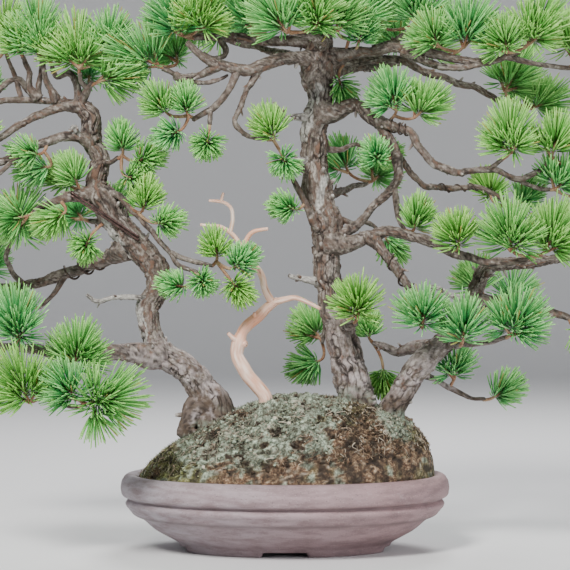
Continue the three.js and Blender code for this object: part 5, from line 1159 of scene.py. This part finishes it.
# %% Sprays
SPRAYS = {
    "left_top": (
        [
            [(-240, 23, 448, 7), (-262, 30, 448, 6.6), (-285, 36, 447, 6.2), (-312, 42, 443, 5)],
            [(-246, 25, 448, 6.5), (-245, 18, 472, 5.5), (-244, 12, 490, 4.5)],
            [(-264, 30, 448, 6), (-270, 34, 472, 5), (-278, 32, 494, 4)],
        ],
        [
            [(-244, 13, 488), (-246, 6, 502, 95, 30, 36), (-224, -2, 488, 60, 35, 28)],
            [(-277, 32, 492), (-281, 27, 505, 80, 15, 30), (-303, 38, 486, 150, 5, 28)],
            [(-309, 42, 443), (-314, 44, 449, 145, -10, 26), (-300, 58, 455, 95, -35, 24)],
        ],
    ),
    "left_top_inner": (
        [
            [(-204, 6, 446, 10), (-198, -2, 459, 8), (-192, -8, 466, 6)],
            [(-198, -3, 460, 6.5), (-204, -8, 468, 5.5), (-206, -12, 476, 4.5)],
        ],
        [
            [(-206, -11, 475), (-206, -16, 486, 95, 5, 34), (-177, -16, 500, 80, 20, 28)],
            [(-193, -7, 464), (-183, -14, 468, 15, 20, 30), (-196, 14, 470, 90, -45, 24)],
        ],
    ),
    "left_edge_upper": (
        [], [[(-308, -28, 399), (-316, -30, 400, 170, 10, 26), (-300, -38, 412, 100, 40, 22)]],
    ),
    "left_high_under": (
        [], [[(-238, -13, 407), (-247, -22, 395, 175, 20, 20), (-237, -8, 382, 190, 5, 24)]],
    ),
    "left_edge_high": (
        [[(-266, -25, 393, 6), (-285, -42, 377, 5), (-304, -54, 366, 4)]],
        [[(-302, -53, 367), (-308, -60, 366, 190, 40, 24)]],
    ),
    "left_edge_high_end": ([], [[(-309, -36, 378), (-317, -37, 377, 180, 0, 26)]]),
    "left_inner": (
        [[(-185, 12, 388, 7), (-176, 0, 385, 5), (-166, -8, 391, 4)]],
        [
            [
                (-167, -8, 390), (-162, -11, 398, 95, 20, 20), (-147, -16, 388, 15, 35, 22),
                (-158, -14, 372, -10, 35, 20),
            ],
        ],
    ),
    "left_middle_top": (
        [], [[(-204, 0, 356), (-208, -3, 366, 115, 10, 22), (-216, 22, 366, 120, -40, 26)]],
    ),
    "left_middle_end": (
        [[(-216, -9, 353, 10), (-238, -22, 345, 7.5), (-252, -29, 337, 5)]],
        [
            [(-250, -28, 338), (-262, -32, 332, 185, 15, 28)],
            [(-226, -15, 349), (-222, -26, 335, 215, 20, 24)],
        ],
    ),
    "left_middle_low": ([], [[(-176, 4, 330), (-197, -18, 308, -100, 55, 20)]]),
    "left_sweep": (
        [
            [
                (-184, 8, 352, 9), (-168, -8, 354, 7), (-155, -15, 340, 6.5), (-135, -24, 319, 6),
                (-117, -30, 299, 6), (-104, -34, 284, 5), (-88, -38, 276, 4.5),
            ],
            [(-114, -31, 296, 5.5), (-92, -35, 288, 4.8), (-72, -38, 283, 4.2)],
        ],
        [
            [(-158, -14, 344), (-142, -26, 340, 75, 20, 22), (-127, -32, 326, 5, 30, 20)],
            [
                (-73, -38, 283), (-68, -39, 292, 100, 25, 20), (-50, -42, 282, 40, 30, 20),
                (-52, -46, 266, -50, 35, 20),
            ],
            [(-90, -38, 277), (-84, -46, 270, -60, 65, 18), (-101, -42, 262, 170, 25, 18)],
        ],
    ),
    "left_back": (
        [
            [(-252, 55, 265, 10), (-285, 66, 262, 8), (-316, 75, 266, 5.5)],
            [(-262, 58, 264, 7), (-280, 42, 288, 5.5), (-275, 24, 308, 4.5)],
        ],
        [
            [(-275, 25, 307), (-272, 18, 318, 60, 25, 32), (-292, 30, 306, 160, 0, 28)],
            [(-313, 74, 265), (-314, 77, 272, 125, -10, 28), (-296, 86, 280, 80, -40, 26)],
        ],
    ),
    "left_back_strand": (
        [[(-218, 41, 273, 7), (-228, 42, 258, 5.5), (-247, 45, 240, 4.5)]],
        [[(-246, 45, 241), (-258, 48, 242, 170, 0, 24)]],
    ),
    "left_rear": ([], [[(-194, 111, 327), (-204, 120, 332, 130, -45, 28), (-176, 116, 336, 60, -30, 26)]]),
    "low_left_end": (
        [[(-255, -63, 200, 9), (-290, -72, 204, 7.5), (-316, -80, 210, 5.5)]],
        [
            [(-313, -79, 209), (-317, -83, 216, 140, 10, 30)],
            [(-282, -70, 202), (-287, -82, 188, 215, 30, 24)],
            [(-268, -67, 203), (-267, -78, 213, 95, 30, 36)],
        ],
    ),
    "low_left_front": (
        [
            [
                (-205, -46, 196, 9), (-222, -66, 180, 6.5), (-232, -86, 158, 5.5), (-222, -96, 145, 5),
                (-206, -102, 142, 4.5),
            ],
            [(-232, -84, 160, 5.5), (-246, -96, 151, 4.5)],
        ],
        [
            [(-222, -64, 181), (-210, -72, 185, 75, 30, 32)],
            [(-209, -101, 142), (-190, -112, 147, 15, 40, 40), (-210, -112, 152, 120, 45, 30)],
            [(-244, -95, 152), (-257, -108, 150, 110, 35, 38)],
        ],
    ),
    "crown_far_left": (
        [], [[(-120, -11, 480), (-131, -14, 485, 155, 25, 38), (-108, 14, 490, 110, -40, 26)]],
    ),
    "crown_left_end": (
        [],
        [
            [
                (-89, -16, 511), (-106, -22, 518, 110, 25, 36), (-86, -34, 524, 80, 30, 32),
                (-82, 16, 522, 90, -50, 28),
            ],
        ],
    ),
    "crown_outer": (
        [
            [
                (-46, -28, 479, 9), (-55, -32, 460, 7.5), (-66, -33, 446, 6.8), (-80, -34, 438, 6),
                (-92, -34, 430, 4.8),
            ],
            [(-76, -34, 440, 5.5), (-75, -36, 424, 4.5)],
        ],
        [
            [
                (-91, -34, 431), (-98, -36, 437, 95, 30, 20), (-119, -32, 437, 130, 30, 24),
                (-106, -38, 418, 205, 35, 20),
            ],
            [(-75, -36, 425), (-77, -44, 410, -90, 55, 20)],
        ],
    ),
    "crown_left_top": (
        [],
        [
            [
                (-20, -1, 509), (-34, -14, 524, 105, 20, 38), (-8, -22, 530, 75, 30, 32),
                (-32, 28, 528, 100, -35, 34),
            ],
        ],
    ),
    "crown_hanging": ([], [[(-18, -14, 409), (-11, -16, 412, 115, 25, 24), (-2, -18, 392, -70, 50, 20)]]),
    "crown_front": ([], [[(8, -87, 516), (0, -94, 520, 130, 25, 32), (30, -84, 526, 80, 40, 32)]]),
    "crown_apex": (
        [
            [(36, 13, 541, 13), (34, 13, 550, 11), (37, 11, 563, 7)],
            [(35, 13, 549, 9), (10, 10, 557, 6), (-6, 8, 560, 5)],
            [(35, 13, 549, 9), (60, 14, 554, 6), (78, 12, 557, 5)],
        ],
        [
            [
                (37, 11, 562), (38, 8, 571, 85, 5, 36), (30, -26, 560, 100, 40, 34),
                (46, 44, 560, 80, -45, 29),
            ],
            [(-5, 8, 560), (-14, 8, 564, 135, 5, 34), (8, -2, 570, 100, 20, 29)],
            [(77, 12, 557), (86, 11, 562, 45, 0, 34), (64, 0, 568, 80, 20, 29)],
        ],
    ),
    "crown_middle": ([], [[(60, 2, 494), (68, -12, 526, 75, 20, 38), (52, -38, 522, 95, 45, 32)]]),
    "crown_rear_left": (
        [], [[(-52, 111, 508), (-62, 118, 514, 130, -35, 29), (-30, 114, 520, 80, -25, 29)]],
    ),
    "crown_rear_right": (
        [], [[(136, 107, 490), (146, 114, 496, 50, -35, 29), (114, 104, 506, 100, -25, 29)]],
    ),
    "crown_right_top": ([], [[(127, 4, 520), (132, 3, 529, 80, 20, 36), (96, 12, 526, 110, -20, 29)]]),
    "crown_right_front": (
        [], [[(160, -23, 494), (180, -34, 506, 75, 25, 36), (152, -32, 506, 120, 40, 26)]],
    ),
    "crown_right_end": (
        [
            [(200, -30, 485, 7.5), (226, -34, 495, 5.5), (240, -34, 502, 4.5)],
            [(220, -33, 492, 6), (254, -32, 486, 5.5), (286, -26, 482, 4.5)],
        ],
        [
            [(239, -34, 501), (246, -36, 509, 65, 20, 36), (222, -44, 500, 110, 40, 26)],
            [(284, -26, 482), (296, -28, 486, 20, 10, 32), (286, -14, 498, 80, -30, 30)],
        ],
    ),
    "crown_right_rear": (
        [],
        [
            [
                (240, 57, 440), (250, 56, 442, 25, 10, 29), (222, 48, 462, 60, -5, 34),
                (238, 76, 458, 70, -45, 28),
            ],
        ],
    ),
    "mid_right_top": ([], [[(98, -17, 424), (111, -26, 443, 110, 25, 28), (133, -32, 434, 45, 25, 28)]]),
    "mid_right_inner": ([], [[(111, -22, 397), (94, -30, 388, 120, 50, 20)]]),
    "mid_right_down": (
        [[(110, -17, 362, 7), (111, -12, 348, 6.5), (114, -9, 330, 5), (121, -10, 318, 4.2)]],
        [[(120, -10, 319), (129, -14, 320, 75, 20, 24)]],
    ),
    "mid_right_far": (
        [
            [
                (176, -46, 377, 7.4), (208, -50, 379, 6.6), (233, -50, 369, 6), (254, -50, 378, 5),
                (264, -50, 388, 4.2),
            ],
            [(204, -50, 379, 6), (216, -55, 389, 4.8)],
            [(224, -50, 372, 5.5), (250, -45, 361, 4.8), (266, -42, 359, 4)],
        ],
        [
            [(214, -54, 388), (226, -60, 401, 95, 25, 32)],
            [(263, -50, 387), (268, -52, 397, 75, 15, 28), (292, -48, 384, 20, 0, 30)],
            [(265, -42, 359), (273, -43, 362, 50, 20, 26), (292, -30, 352, 0, -10, 28)],
        ],
    ),
    "mid_right_near": ([], [[(220, 10, 349), (235, 11, 345, 50, 10, 22), (206, 34, 352, 100, -40, 24)]]),
    "low_right": (
        [[(158, -41, 300, 9.4), (202, -50, 287, 8), (226, -54, 286, 6.5), (244, -57, 290, 5)]],
        [
            [(168, -44, 297), (174, -52, 304, 100, 35, 28)],
            [(243, -57, 290), (262, -64, 301, 70, 25, 34), (226, -64, 302, 100, 30, 36)],
        ],
    ),
    "low_right_grey": ([], [[(137, -61, 238), (138, -72, 224, 90, 45, 30)]]),
    "right_trunk_end": ([], [[(303, 28, 296), (310, 28, 302, 40, -5, 30), (282, 34, 306, 90, -30, 28)]]),
    "right_lower_end": (
        [[(262, -17, 238, 9), (288, -23, 231, 7.5), (316, -29, 228, 5.5)]],
        [[(313, -29, 228), (318, -31, 231, 10, 5, 28)], [(284, -22, 231), (291, -34, 219, -45, 35, 22)]],
    ),
    "right_front": (
        [
            [(156, -12, 203, 9), (180, -38, 205, 6.5), (205, -52, 207, 5.5), (222, -62, 211, 4.8)],
            [(166, -24, 204, 6.5), (172, -48, 202, 5.2), (175, -66, 203, 4.4)],
        ],
        [[(221, -62, 211), (228, -68, 217, 70, 35, 34)], [(175, -65, 203), (178, -76, 209, 85, 30, 30)]],
    ),
    "main_front": (
        [[(54, -4, 226, 12), (62, -28, 222, 7.5), (70, -46, 226, 5.5)]],
        [[(69, -45, 226), (73, -58, 234, 90, 45, 30)]],
    ),
    "main_left": (
        [[(34, -2, 320, 11), (22, -11, 344, 7), (12, -13, 362, 5.6), (7, -12, 374, 4.4)]],
        [[(20, -12, 346), (10, -18, 340, 170, 35, 20)]],
    ),
    "main_rear_low": ([], [[(37, 60, 207), (33, 66, 214, 130, -25, 26), (34, 64, 188, 200, 10, 24)]]),
    "right_inner": ([], [[(89, 29, 206), (84, 30, 212, 100, 10, 20), (98, 32, 180, -90, 10, 20)]]),
    "right_low": (
        [
            [
                (131, -14, 178, 10), (146, -4, 170, 6.5), (166, 8, 160, 5.5), (184, 14, 150, 4.6),
                (200, 18, 149, 3.8),
            ],
        ],
        [[(198, 18, 149), (209, 20, 152, 35, 10, 24)], [(164, 7, 161), (170, 4, 174, 85, 20, 26)]],
    ),
    "right_rear": ([], [[(216, 105, 246), (226, 117, 252, 50, -45, 29), (196, 102, 260, 100, -25, 28)]]),
    "main_rear_middle": ([], [[(80, 109, 366), (90, 121, 370, 50, -45, 29), (62, 104, 380, 110, -25, 28)]]),
}

# Small tufts between the sprays, which the coarse model leaves out. Each belongs to the spray whose
# limb it grows from.
EXTRA_SHOOTS = {
    "crown_right_rear": [[(60, 20, 486), (54, 10, 470, 280, 20, 22)]],
    "crown_right_front": [[(70, -2, 498), (74, -14, 508, 80, 35, 24)]],
    "mid_right_inner": [[(96, 28, 318), (101, 26, 311, 300, 0, 22)]],
    "mid_right_near": [[(80, 30, 398), (88, 32, 395, 0, -10, 20)]],
    "left_top": [[(-262, 8, 492), (-264, 4, 498, 105, 20, 26)]],
    "left_top_inner": [[(-242, 6, 489), (-243, 0, 496, 90, 25, 26)]],
}

# %% [markdown]
# ### Shoots
#
# The first tuft of a row sits on its own shoot, which bows so that it meets the tuft in the tuft's
# own direction, and the others leave that shoot half way. That is how a real pine forks: last
# year's shoot carries this year's.

# %% Shoots
BAND_LENGTH = 4.6
CORE_TIP_LENGTH = 2.4
SHOOT_PLACES = 30


def aim_of(angle, tilt):
    turn, lean = np.radians(angle), np.radians(tilt)
    return np.array([np.cos(turn) * np.cos(lean), -np.sin(lean), np.sin(turn) * np.cos(lean)])


def core_length(needle_length):
    bands = 4 if needle_length >= 38 else 3 if needle_length >= 30 else 2
    return bands * BAND_LENGTH + CORE_TIP_LENGTH


def bow(root, base, aim, part):
    """(1 - t)^2 root + 2t(1 - t) elbow + t^2 base, with the elbow straight behind the base."""
    elbow = base - aim * 0.45 * np.linalg.norm(base - root)
    part = np.asarray(part, float)[:, None]
    return (1 - part) ** 2 * root + 2 * part * (1 - part) * elbow + part**2 * base


def shoots_of(row):
    """Each tuft of a row as (path, base, aim, needle length)."""
    root = seen([row[0]])[0]
    made = []
    for tuft in row[1:]:
        base, aim = seen([tuft[:3]])[0], aim_of(tuft[3], tuft[4])
        core = base + aim * (np.linspace(0, 1, 5)[1:] * core_length(tuft[5]))[:, None]
        path = np.concatenate([bow(root, base, aim, np.linspace(0, 1, 8)), core])
        made.append((path, base, aim, tuft[5]))
        if len(made) == 1:
            root = bow(root, base, aim, [0.5])[0]
    return made


def shoot_shell(path, seed):
    """A thin tube with the scars of old bundles, and a bud at its tip."""
    part = np.linspace(0, 1, SHOOT_PLACES)
    fine = smooth_curve(path, part * (len(path) - 1))
    radius = np.interp(part, [0, 0.45, 0.9, 1], [1.7, 1.45, 1.1, 0.8])
    scars = 0.22 * soft_noise(fine, 1.6, seed)
    reach = (radius + scars)[:, None] * (1 + 0.12 * draws(SHOOT_PLACES, seed, 7))
    surface, faces = tube(fine, reach)
    return shell(surface, faces, 1, tone=0.5 + 0.5 * soft_noise(surface, 5, seed))


# %% [markdown]
# ### Needles
#
# All needles of a tuft are made at once. A needle is three-sided, as a white pine's is, since five of
# them make up a round bundle. It has a foot, two rings and a tip: twelve triangles, and there are
# about twenty-seven thousand needles. One that would run into a limb or the moss is left out, as it
# would have been pushed aside there.

# %% Needles
MAIN_BUNDLES = 32
SIDE_BUNDLES = 13
NEEDLES_PER_BUNDLE = 5
NEEDLE_RADIUS = 0.86
GOLDEN_ANGLE = 2.39996
THIRDS = round_angles(3)


def side_tufts(tuft, seed):
    """Shorter tufts beside a tuft: each shoot starts 5 mm behind its base and leans out by 34 to 54
    degrees, on opposite sides of it."""
    base, aim, length = tuft[1:]
    made = []
    how_many = 2 if length > 31 else 1 if length > 25 else 0
    one, two = square_to(aim, (0.2, 0.95, 0.1))
    for number, (turn, lean) in enumerate(draws(how_many, seed, 2)):
        out = turned(one, two, np.pi * number + 2.2 * (turn - 0.5))
        way = turned(aim, out, np.radians(34 + 20 * lean))
        root = base - aim * 5
        core = np.linspace(0, 1, 9)[:, None] * (7 + core_length(0))
        made.append((root + way * core, root + way * 7, way, 0.76 * length))
    return made


def needle_starts(tuft, count, seed):
    """Start, direction, length and turn of every needle of a tuft. The bundles climb the core by the
    golden angle, and lean out by 78 degrees at its rear, 30 at its end and 7 at its tip."""
    base, aim, length = tuft[1:]
    number_in = np.arange(count)
    along = (number_in + 0.5) / count
    random = draws(count, seed, 5)
    lean = np.radians(np.interp(along, [0, 0.8, 1], [78, 30, 7]) + 16 * (random[:, 0] - 0.5))
    one, two = square_to(aim, (0.3, 0.2, 0.93))
    out = turned(one, two, number_in * GOLDEN_ANGLE + 0.9 * random[:, 1])
    bundle = turned(aim, out, lean)
    core = core_length(length if count == MAIN_BUNDLES else 0)
    start = base + aim * (along**0.9 * core)[:, None] + out * 0.6
    # The five needles of a bundle spread from it like the ribs of a narrow umbrella.
    across, upward = square_to(bundle, aim + 0.01)
    spread_out = np.radians(7 + 9 * draws(count, seed + 1, NEEDLES_PER_BUNDLE))
    rib = round_angles(NEEDLES_PER_BUNDLE) + CHANCE_TURN * random[:, 2:3]
    sideways = turned(across[:, None], upward[:, None], rib)
    way = turned(bundle[:, None], sideways, spread_out)
    lengths = length * (0.88 + 0.18 * draws(count, seed + 2, NEEDLES_PER_BUNDLE))
    lengths = lengths * (0.94 + 0.12 * random[:, 3:4])
    each = (start[:, None] + sideways * 0.35, way, lengths, rib, np.broadcast_to(aim, way.shape))
    return [value.reshape(-1, *value.shape[2:]) for value in each]


def limb_samples():
    """Places on every limb and their radii, for needles to keep clear of."""
    places, radii = [], []
    for rows in [*TRUNKS.values(), *BRANCHES.values(), *BARE_STEM.values()]:
        points, radius = limb_path(rows, 4)[:2]
        places.append(points)
        radii.append(radius)
    return np.concatenate(places), np.concatenate(radii)


limb_places, limb_radii = limb_samples()
NEEDLE_RINGS = np.array([0.45, 0.95])


def needle_shell(starts, ways, lengths, turns, forward, hue, seed):
    """centre(t) = start + way * t L + bend * t^2 L: a foot, two rings of three corners, and a tip."""
    random = draws(len(starts), seed, 3)
    bend = (0.1 + 0.12 * random[:, 1:2]) * forward + (0, 0, 0.04)
    centre = lambda part: starts + lengths[:, None] * (ways * part + bend * part**2)
    kept = np.ones(len(starts), bool)
    for part in (0.5, 0.75, 1.0):
        place = centre(part)
        away = np.linalg.norm(place[:, None] - limb_places, axis=2) - limb_radii * 1.12
        kept &= (place[:, 2] > mound_height(place) + 2.5) & (away.min(axis=1) > 0.8)
    starts, ways, lengths, turns = starts[kept], ways[kept], lengths[kept], turns[kept]
    bend, random = bend[kept], random[kept]
    side, other = square_to(ways, (0.1, 0.9, 0.3))
    corners = [starts]
    for part, width in zip(NEEDLE_RINGS, (1.0, 0.8)):
        for third in THIRDS:
            corners.append(centre(part) + turned(side, other, turns + third) * NEEDLE_RADIUS * width)
    points = np.stack([*corners, centre(1)], axis=1).reshape(-1, 3)
    sides = ((1, 2), (2, 3), (3, 1))
    pattern = [(0, b, a, -1) for a, b in sides]
    pattern += [(a, b, b + 3, a + 3) for a, b in sides]
    pattern += [(a + 3, b + 3, 7, -1) for a, b in sides]
    along = np.tile([0, *np.repeat(NEEDLE_RINGS, 3), 1], len(starts))
    # The tone differs at random from needle to needle; 0.15 * (along - 0.5) is painted shade, darker
    # towards each needle's base inside the tuft.
    tone = np.repeat(0.2 + 0.75 * random[:, 0], 8) + 0.15 * (along - 0.5)
    numbers = {"along": along, "tone": tone, "hue": hue, "dead": 0.8 * np.repeat(random[:, 2] > 0.985, 8)}
    return shell(points, repeated(pattern, 8, len(starts)), 2, **numbers)


def spray_piece(name, twigs, rows, seed):
    shells = [bark_tube(twig, 2.5, 10, 3, 0.25, seed + number) for number, twig in enumerate(twigs)]

    def add_tuft(tuft, bundles, hue, own):
        shells.append(shoot_shell(tuft[0], own))
        shells.append(needle_shell(*needle_starts(tuft, bundles, own), hue, own + 5))

    for row_number, row in enumerate(rows):
        for tuft_number, tuft in enumerate(shoots_of(row)):
            own = seed + 50 * row_number + 10 * tuft_number
            hue = np.clip(0.45 + 0.9 * (chance([[own, 3]])[0] - 0.5), 0, 1)
            add_tuft(tuft, MAIN_BUNDLES, hue, own)
            for side_number, side in enumerate(side_tufts(tuft, own + 1)):
                add_tuft(side, SIDE_BUNDLES, hue, own + 7000 + side_number)
    add_piece(name + "_needles", shells, [bark, young_shoot, pine_needle], name)


for order, (name, (twigs, rows)) in enumerate(SPRAYS.items()):
    spray_piece("spray_" + name, twigs, rows + EXTRA_SHOOTS.get(name, []), 1000 + 400 * order)

# %% [markdown]
# ## The mossy mound
#
# The soil is heaped up round the roots and grown over. Its dome is the CAD model's, and lumps of
# moss of several sizes are laid on it as soft noise: cushions of 20 mm, tufts of 6 mm and grit of
# 2 mm. The patches follow the photo: sage lichen to the left and in the middle, rusty dry moss to
# the right, and live olive moss towards the rim.

# %% Mound


def ground_numbers(points):
    """Lichen, live moss, bleached flecks, and how dark each place on the ground is: partly bare soil and
    partly painted shade in its hollows.
    """
    x, z = points[:, 0], points[:, 2]
    wander = soft_noise(points, 24, 201) + 0.7 * soft_noise(points, 9, 202)
    patch = soft_noise(points, 8.5, 205) + 0.6 * soft_noise(points, 3.6, 206)
    slant = x + 0.9 * (157 - z) + 34 * wander
    belt = step_up(x, -126, -100) * (1 - step_up(slant, 50, 100)) * step_up(z + 9 * wander, 80, 104)
    belt += np.exp(-((x - 106) ** 2 + (z - 132) ** 2) / 350)
    lichen = step_up(1.1 * belt + 0.5 * wander + 0.95 * patch, 0.5, 0.85)
    live = step_up(1.1 - np.abs(x + 118) / 45 + 0.8 * wander, 0.3, 0.9)
    live = np.maximum(live, 0.5 * step_up(wander, 0.1, 0.7))
    flecks = step_up(soft_noise(points, 2.6, 203) + 0.3 * soft_noise(points, 12, 204), 0.5, 0.9)
    return {"hue": 0.95 * lichen, "mossy": live, "dead": 0.6 * flecks, "depth": dark_soil_and_shade(patch, lichen)}


def dark_soil_and_shade(patch, lichen):
    """Dark where the patch noise is low, and less so under lichen: partly bare soil that shows between
    lichens, partly painted shade in the hollows that the mound sinks there.
    """
    return 0.9 * step_up(-patch, 0.1, 0.7) * (1 - 0.55 * lichen)


MOUND_COLUMNS, MOUND_RINGS = 280, 130


def mound_shell():
    """Rings from inside the pot up its wall, then (half length * out cos a, half depth * out sin a,
    edge + rise * (1 - out^f)^(1/f)), lifted by lumps of noise."""
    angle = round_angles(MOUND_COLUMNS)
    out = np.sin(np.linspace(0, 1, MOUND_RINGS) * np.pi / 2)[::-1][:, None]
    half_length = MOUND_HALF_LENGTH + 2 * np.cos(angle) + MOSS_THICKNESS * (out < 1)
    half_depth = MOUND_HALF_DEPTH + MOSS_THICKNESS * (out < 1)
    x, y = half_length * out * np.cos(angle), half_depth * out * np.sin(angle)
    dome = np.stack([x, y, dome_height(out, angle)], axis=-1)
    flat = dome.reshape(-1, 3)
    ground = ground_numbers(flat)
    cushions = 2.8 * soft_noise(flat, 23, 211) + 2.6 * soft_noise(flat, 10, 212)
    big_near, big_gap = cell_noise(flat + 3 * soft_noise(flat, 7, 218)[:, None], 11, 217)[:2]
    cushions += 3.6 * (0.45 - big_near) - 2.6 * (1 - step_up(big_gap, 0, 0.3))
    cushions += 1.5 * ground["hue"] - 1.5 * ground["depth"]
    near = cell_noise(flat, 4.2, 213)[0]
    tufts = 2.4 * (0.5 - near) + 1.5 * soft_noise(flat, 3.1, 214) + 1.1 * soft_noise(flat, 1.3, 215)
    lift = (cushions + tufts) * step_up(1.0 - np.repeat(out[:, 0], MOUND_COLUMNS), 0.0, 0.06)
    flat = flat + outward_at(flat) * lift[:, None]
    wall = [oval(inset + 0.6, height + 0.3, angle) for inset, height in ((60, 16), (38, 28), (21, 58))]
    rings = np.concatenate([wall, flat.reshape(dome.shape)[:-1]])
    points, faces = closed_rings(rings, (0, 0, 16.3), flat[-1])
    numbers = ground_numbers(points)
    # Painted shade in the hollows: the depth grows where the tufts and cushions sink the ground.
    low = 0.9 * step_up(-tufts - 0.45 * cushions, 0.0, 3.0)[:-MOUND_COLUMNS]
    on_dome = slice(len(wall) * MOUND_COLUMNS, len(points) - 2)
    numbers["depth"][on_dome] = np.maximum(numbers["depth"][on_dome], low)
    return shell(points, faces, tone=0.55 + 0.45 * soft_noise(points, 4, 216), **numbers)


def outward_at(places):
    """Away from a centre low in the pot."""
    return unit(places - (0, 0, 40))


def on_mound(count, seed, low=0.0, high=1.0):
    """Chance places on the dome, even over the ground between two distances out."""
    random = draws(count, seed, 3)
    out = np.sqrt(low**2 + (high**2 - low**2) * random[:, 0])
    angle = 2 * np.pi * random[:, 1]
    x = (MOUND_HALF_LENGTH + 2) * out * np.cos(angle)
    y = (MOUND_HALF_DEPTH + 1) * out * np.sin(angle)
    points = np.stack([x, y, np.zeros(count)], axis=1)
    points[:, 2] = np.maximum(mound_height(points), MOUND_EDGE_HEIGHT)
    return points, random[:, 2]


def ground_at(centres, corners):
    """The ground's numbers at each centre, for all corners of the shell that stands there."""
    return {name: np.repeat(value, corners) for name, value in ground_numbers(centres).items()}


def crumbs(count, seed, size, low=0.0, high=1.0, only=None, **override):
    """Small lumps of five columns and two rings, each squashed and turned in its own way."""
    centres, fat = on_mound(count, seed, low, high)
    if only:
        kept = ground_numbers(centres)[only] > 0.4
        centres, fat = centres[kept], fat[kept]
    count = len(centres)
    random = draws(count, seed + 1, 12)
    angle = round_angles(5)
    around = np.stack([np.cos(angle), np.sin(angle)], axis=1)
    lower, upper = np.c_[0.85 * around, np.full(5, -0.45)], np.c_[0.8 * around, np.full(5, 0.45)]
    shape = np.concatenate([lower, upper, [[0, 0, -0.9], [0, 0, 0.9]]])
    points = shape * (0.7 + 0.6 * random)[..., None]
    turn = CHANCE_TURN * random[:, :1]
    x, y, z = (points[..., axis] for axis in range(3))
    ahead, aside = x * np.cos(turn) - y * np.sin(turn), x * np.sin(turn) + y * np.cos(turn)
    tipped = np.stack([ahead, aside * 0.8 + 0.3 * z, 0.75 * z + 0.25 * x], axis=-1)
    radius = size * (0.45 + 0.9 * fat**2)
    surface = (centres + (0, 0, 0.6))[:, None] + tipped * radius[:, None, None]
    caps = [cap_faces(0, 5, 10, False), cap_faces(5, 5, 11, True)]
    faces = repeated(np.concatenate([ring_faces(2, 5), *caps]), 12, count)
    tone = np.repeat(0.25 + 0.75 * random[:, 3], 12)
    return shell(surface.reshape(-1, 3), faces, tone=tone, **{**ground_at(centres, 12), **override})


def fuzz(count, seed, length, low=0.0, high=1.0):
    """Moss leaves: three-sided spikes that stand out of the ground at chance leans."""
    centres, tall = on_mound(count, seed, low, high)
    random = draws(count, seed + 1, 3)
    lean = np.stack([random[:, 0] - 0.5, random[:, 1] - 0.5, np.full(count, 0.45)], axis=1)
    way = unit(outward_at(centres) + lean)
    side, other = square_to(way, (0.2, 0.9, 0.1))
    foot = centres + (0, 0, 0.5)
    corners = [foot + 0.42 * turned(side, other, third) for third in THIRDS]
    corners.append(foot + way * (length * (0.5 + tall))[:, None])
    faces = repeated([(0, 2, 1, -1), (0, 1, 3, -1), (1, 2, 3, -1), (2, 0, 3, -1)], 4, count)
    tone = np.repeat(0.5 + 0.5 * random[:, 2], 4)
    return shell(np.stack(corners, axis=1).reshape(-1, 3), faces, tone=tone, **ground_at(centres, 4))


def rootlets(count, seed):
    """Pale dry strands that hang down over the moss: each starts at a place on the dome and runs
    outwards and down on its surface, swaying from side to side."""
    centres, shade = on_mound(count, seed, 0.6, 0.95)
    random = draws(count, seed + 1, 5)
    part = np.linspace(0, 1, 9)
    made = []
    for (x, y, z), (length, sway, turn, lift, fat), pale in zip(centres, random, shade):
        outward = unit(np.array([x, y * 1.4, 0.0]))
        sideways = np.array([-outward[1], outward[0], 0])
        outward = unit(outward + sideways * 3.2 * (sway - 0.5))
        reach = (5 + 16 * length) * part
        swing = (1 + 2.4 * fat) * np.sin(5.5 * part + CHANCE_TURN * turn) + 9 * (turn - 0.5) * part
        path = np.array([x, y, z]) + outward * reach[:, None] * 0.55 + sideways * swing[:, None]
        path[:, 2] = np.maximum(mound_height(path), 68) + 1.2 + 2.4 * lift * np.sin(3 * part)
        radius = (0.3 + 0.45 * fat) * (1.15 - part)
        made.append(plain_tube(path, radius, 4, dead=0.2 + 0.5 * pale**2, tone=0.8))
    return made


def litter(count, seed, low=0.0, high=1.0):
    """Dry moss and old needles: straight three-sided bits that lie at chance turns on the ground."""
    centres, shade = on_mound(count, seed, low, high)
    random = draws(count, seed + 1, 4)
    normal = outward_at(centres)
    one, two = square_to(normal, (0.3, 0.9, 0.2))
    way = turned(one, two, CHANCE_TURN * random[:, 0]) + normal * 0.6 * (random[:, 1:2] - 0.35)
    half = way * (1.2 + 3.6 * random[:, 2:3] ** 2)
    middle = centres + normal * 1.1
    across = unit(np.cross(way, normal))
    thick = 0.3 + 0.25 * random[:, 3:4]
    corners = [
        middle + end * half + turned(across, normal, third) * thick
        for end in (-1, 1)
        for third in THIRDS
    ]
    pattern = [(0, 2, 1, -1), (3, 4, 5, -1), (0, 1, 4, 3), (1, 2, 5, 4), (2, 0, 3, 5)]
    numbers = ground_at(centres, 6)
    numbers["hue"] = 0.5 * numbers["hue"]
    numbers["dead"] = np.repeat(0.65 * step_up(shade, 0.45, 1.0), 6)
    numbers["tone"] = np.repeat(0.2 + 0.8 * random[:, 3], 6)
    return shell(np.stack(corners, axis=1).reshape(-1, 3), repeated(pattern, 6, count), **numbers)


ground = [
    mound_shell(),
    crumbs(3600, 301, 2.4, 0, 0.97, "hue"),
    crumbs(1300, 305, 1.6),
    crumbs(160, 307, 2.6, 0.3, 0.97, None, dead=0.85, hue=0.0),
]
loose = [litter(4000, 331, 0.35, 0.985), fuzz(5000, 311, 3.2, 0, 0.985), *rootlets(240, 317)]
add_piece("mossy_mound", ground, [moss_and_grit], "soil_mound")
add_piece("moss_leaves_and_litter", loose, [moss_and_grit], "soil_mound")

# %% [markdown]
# ## Triangles in all
#
# The triangles of every piece are added up and printed.

# %% Triangle count
print(sum(triangle_counts.values()), "triangles in all")
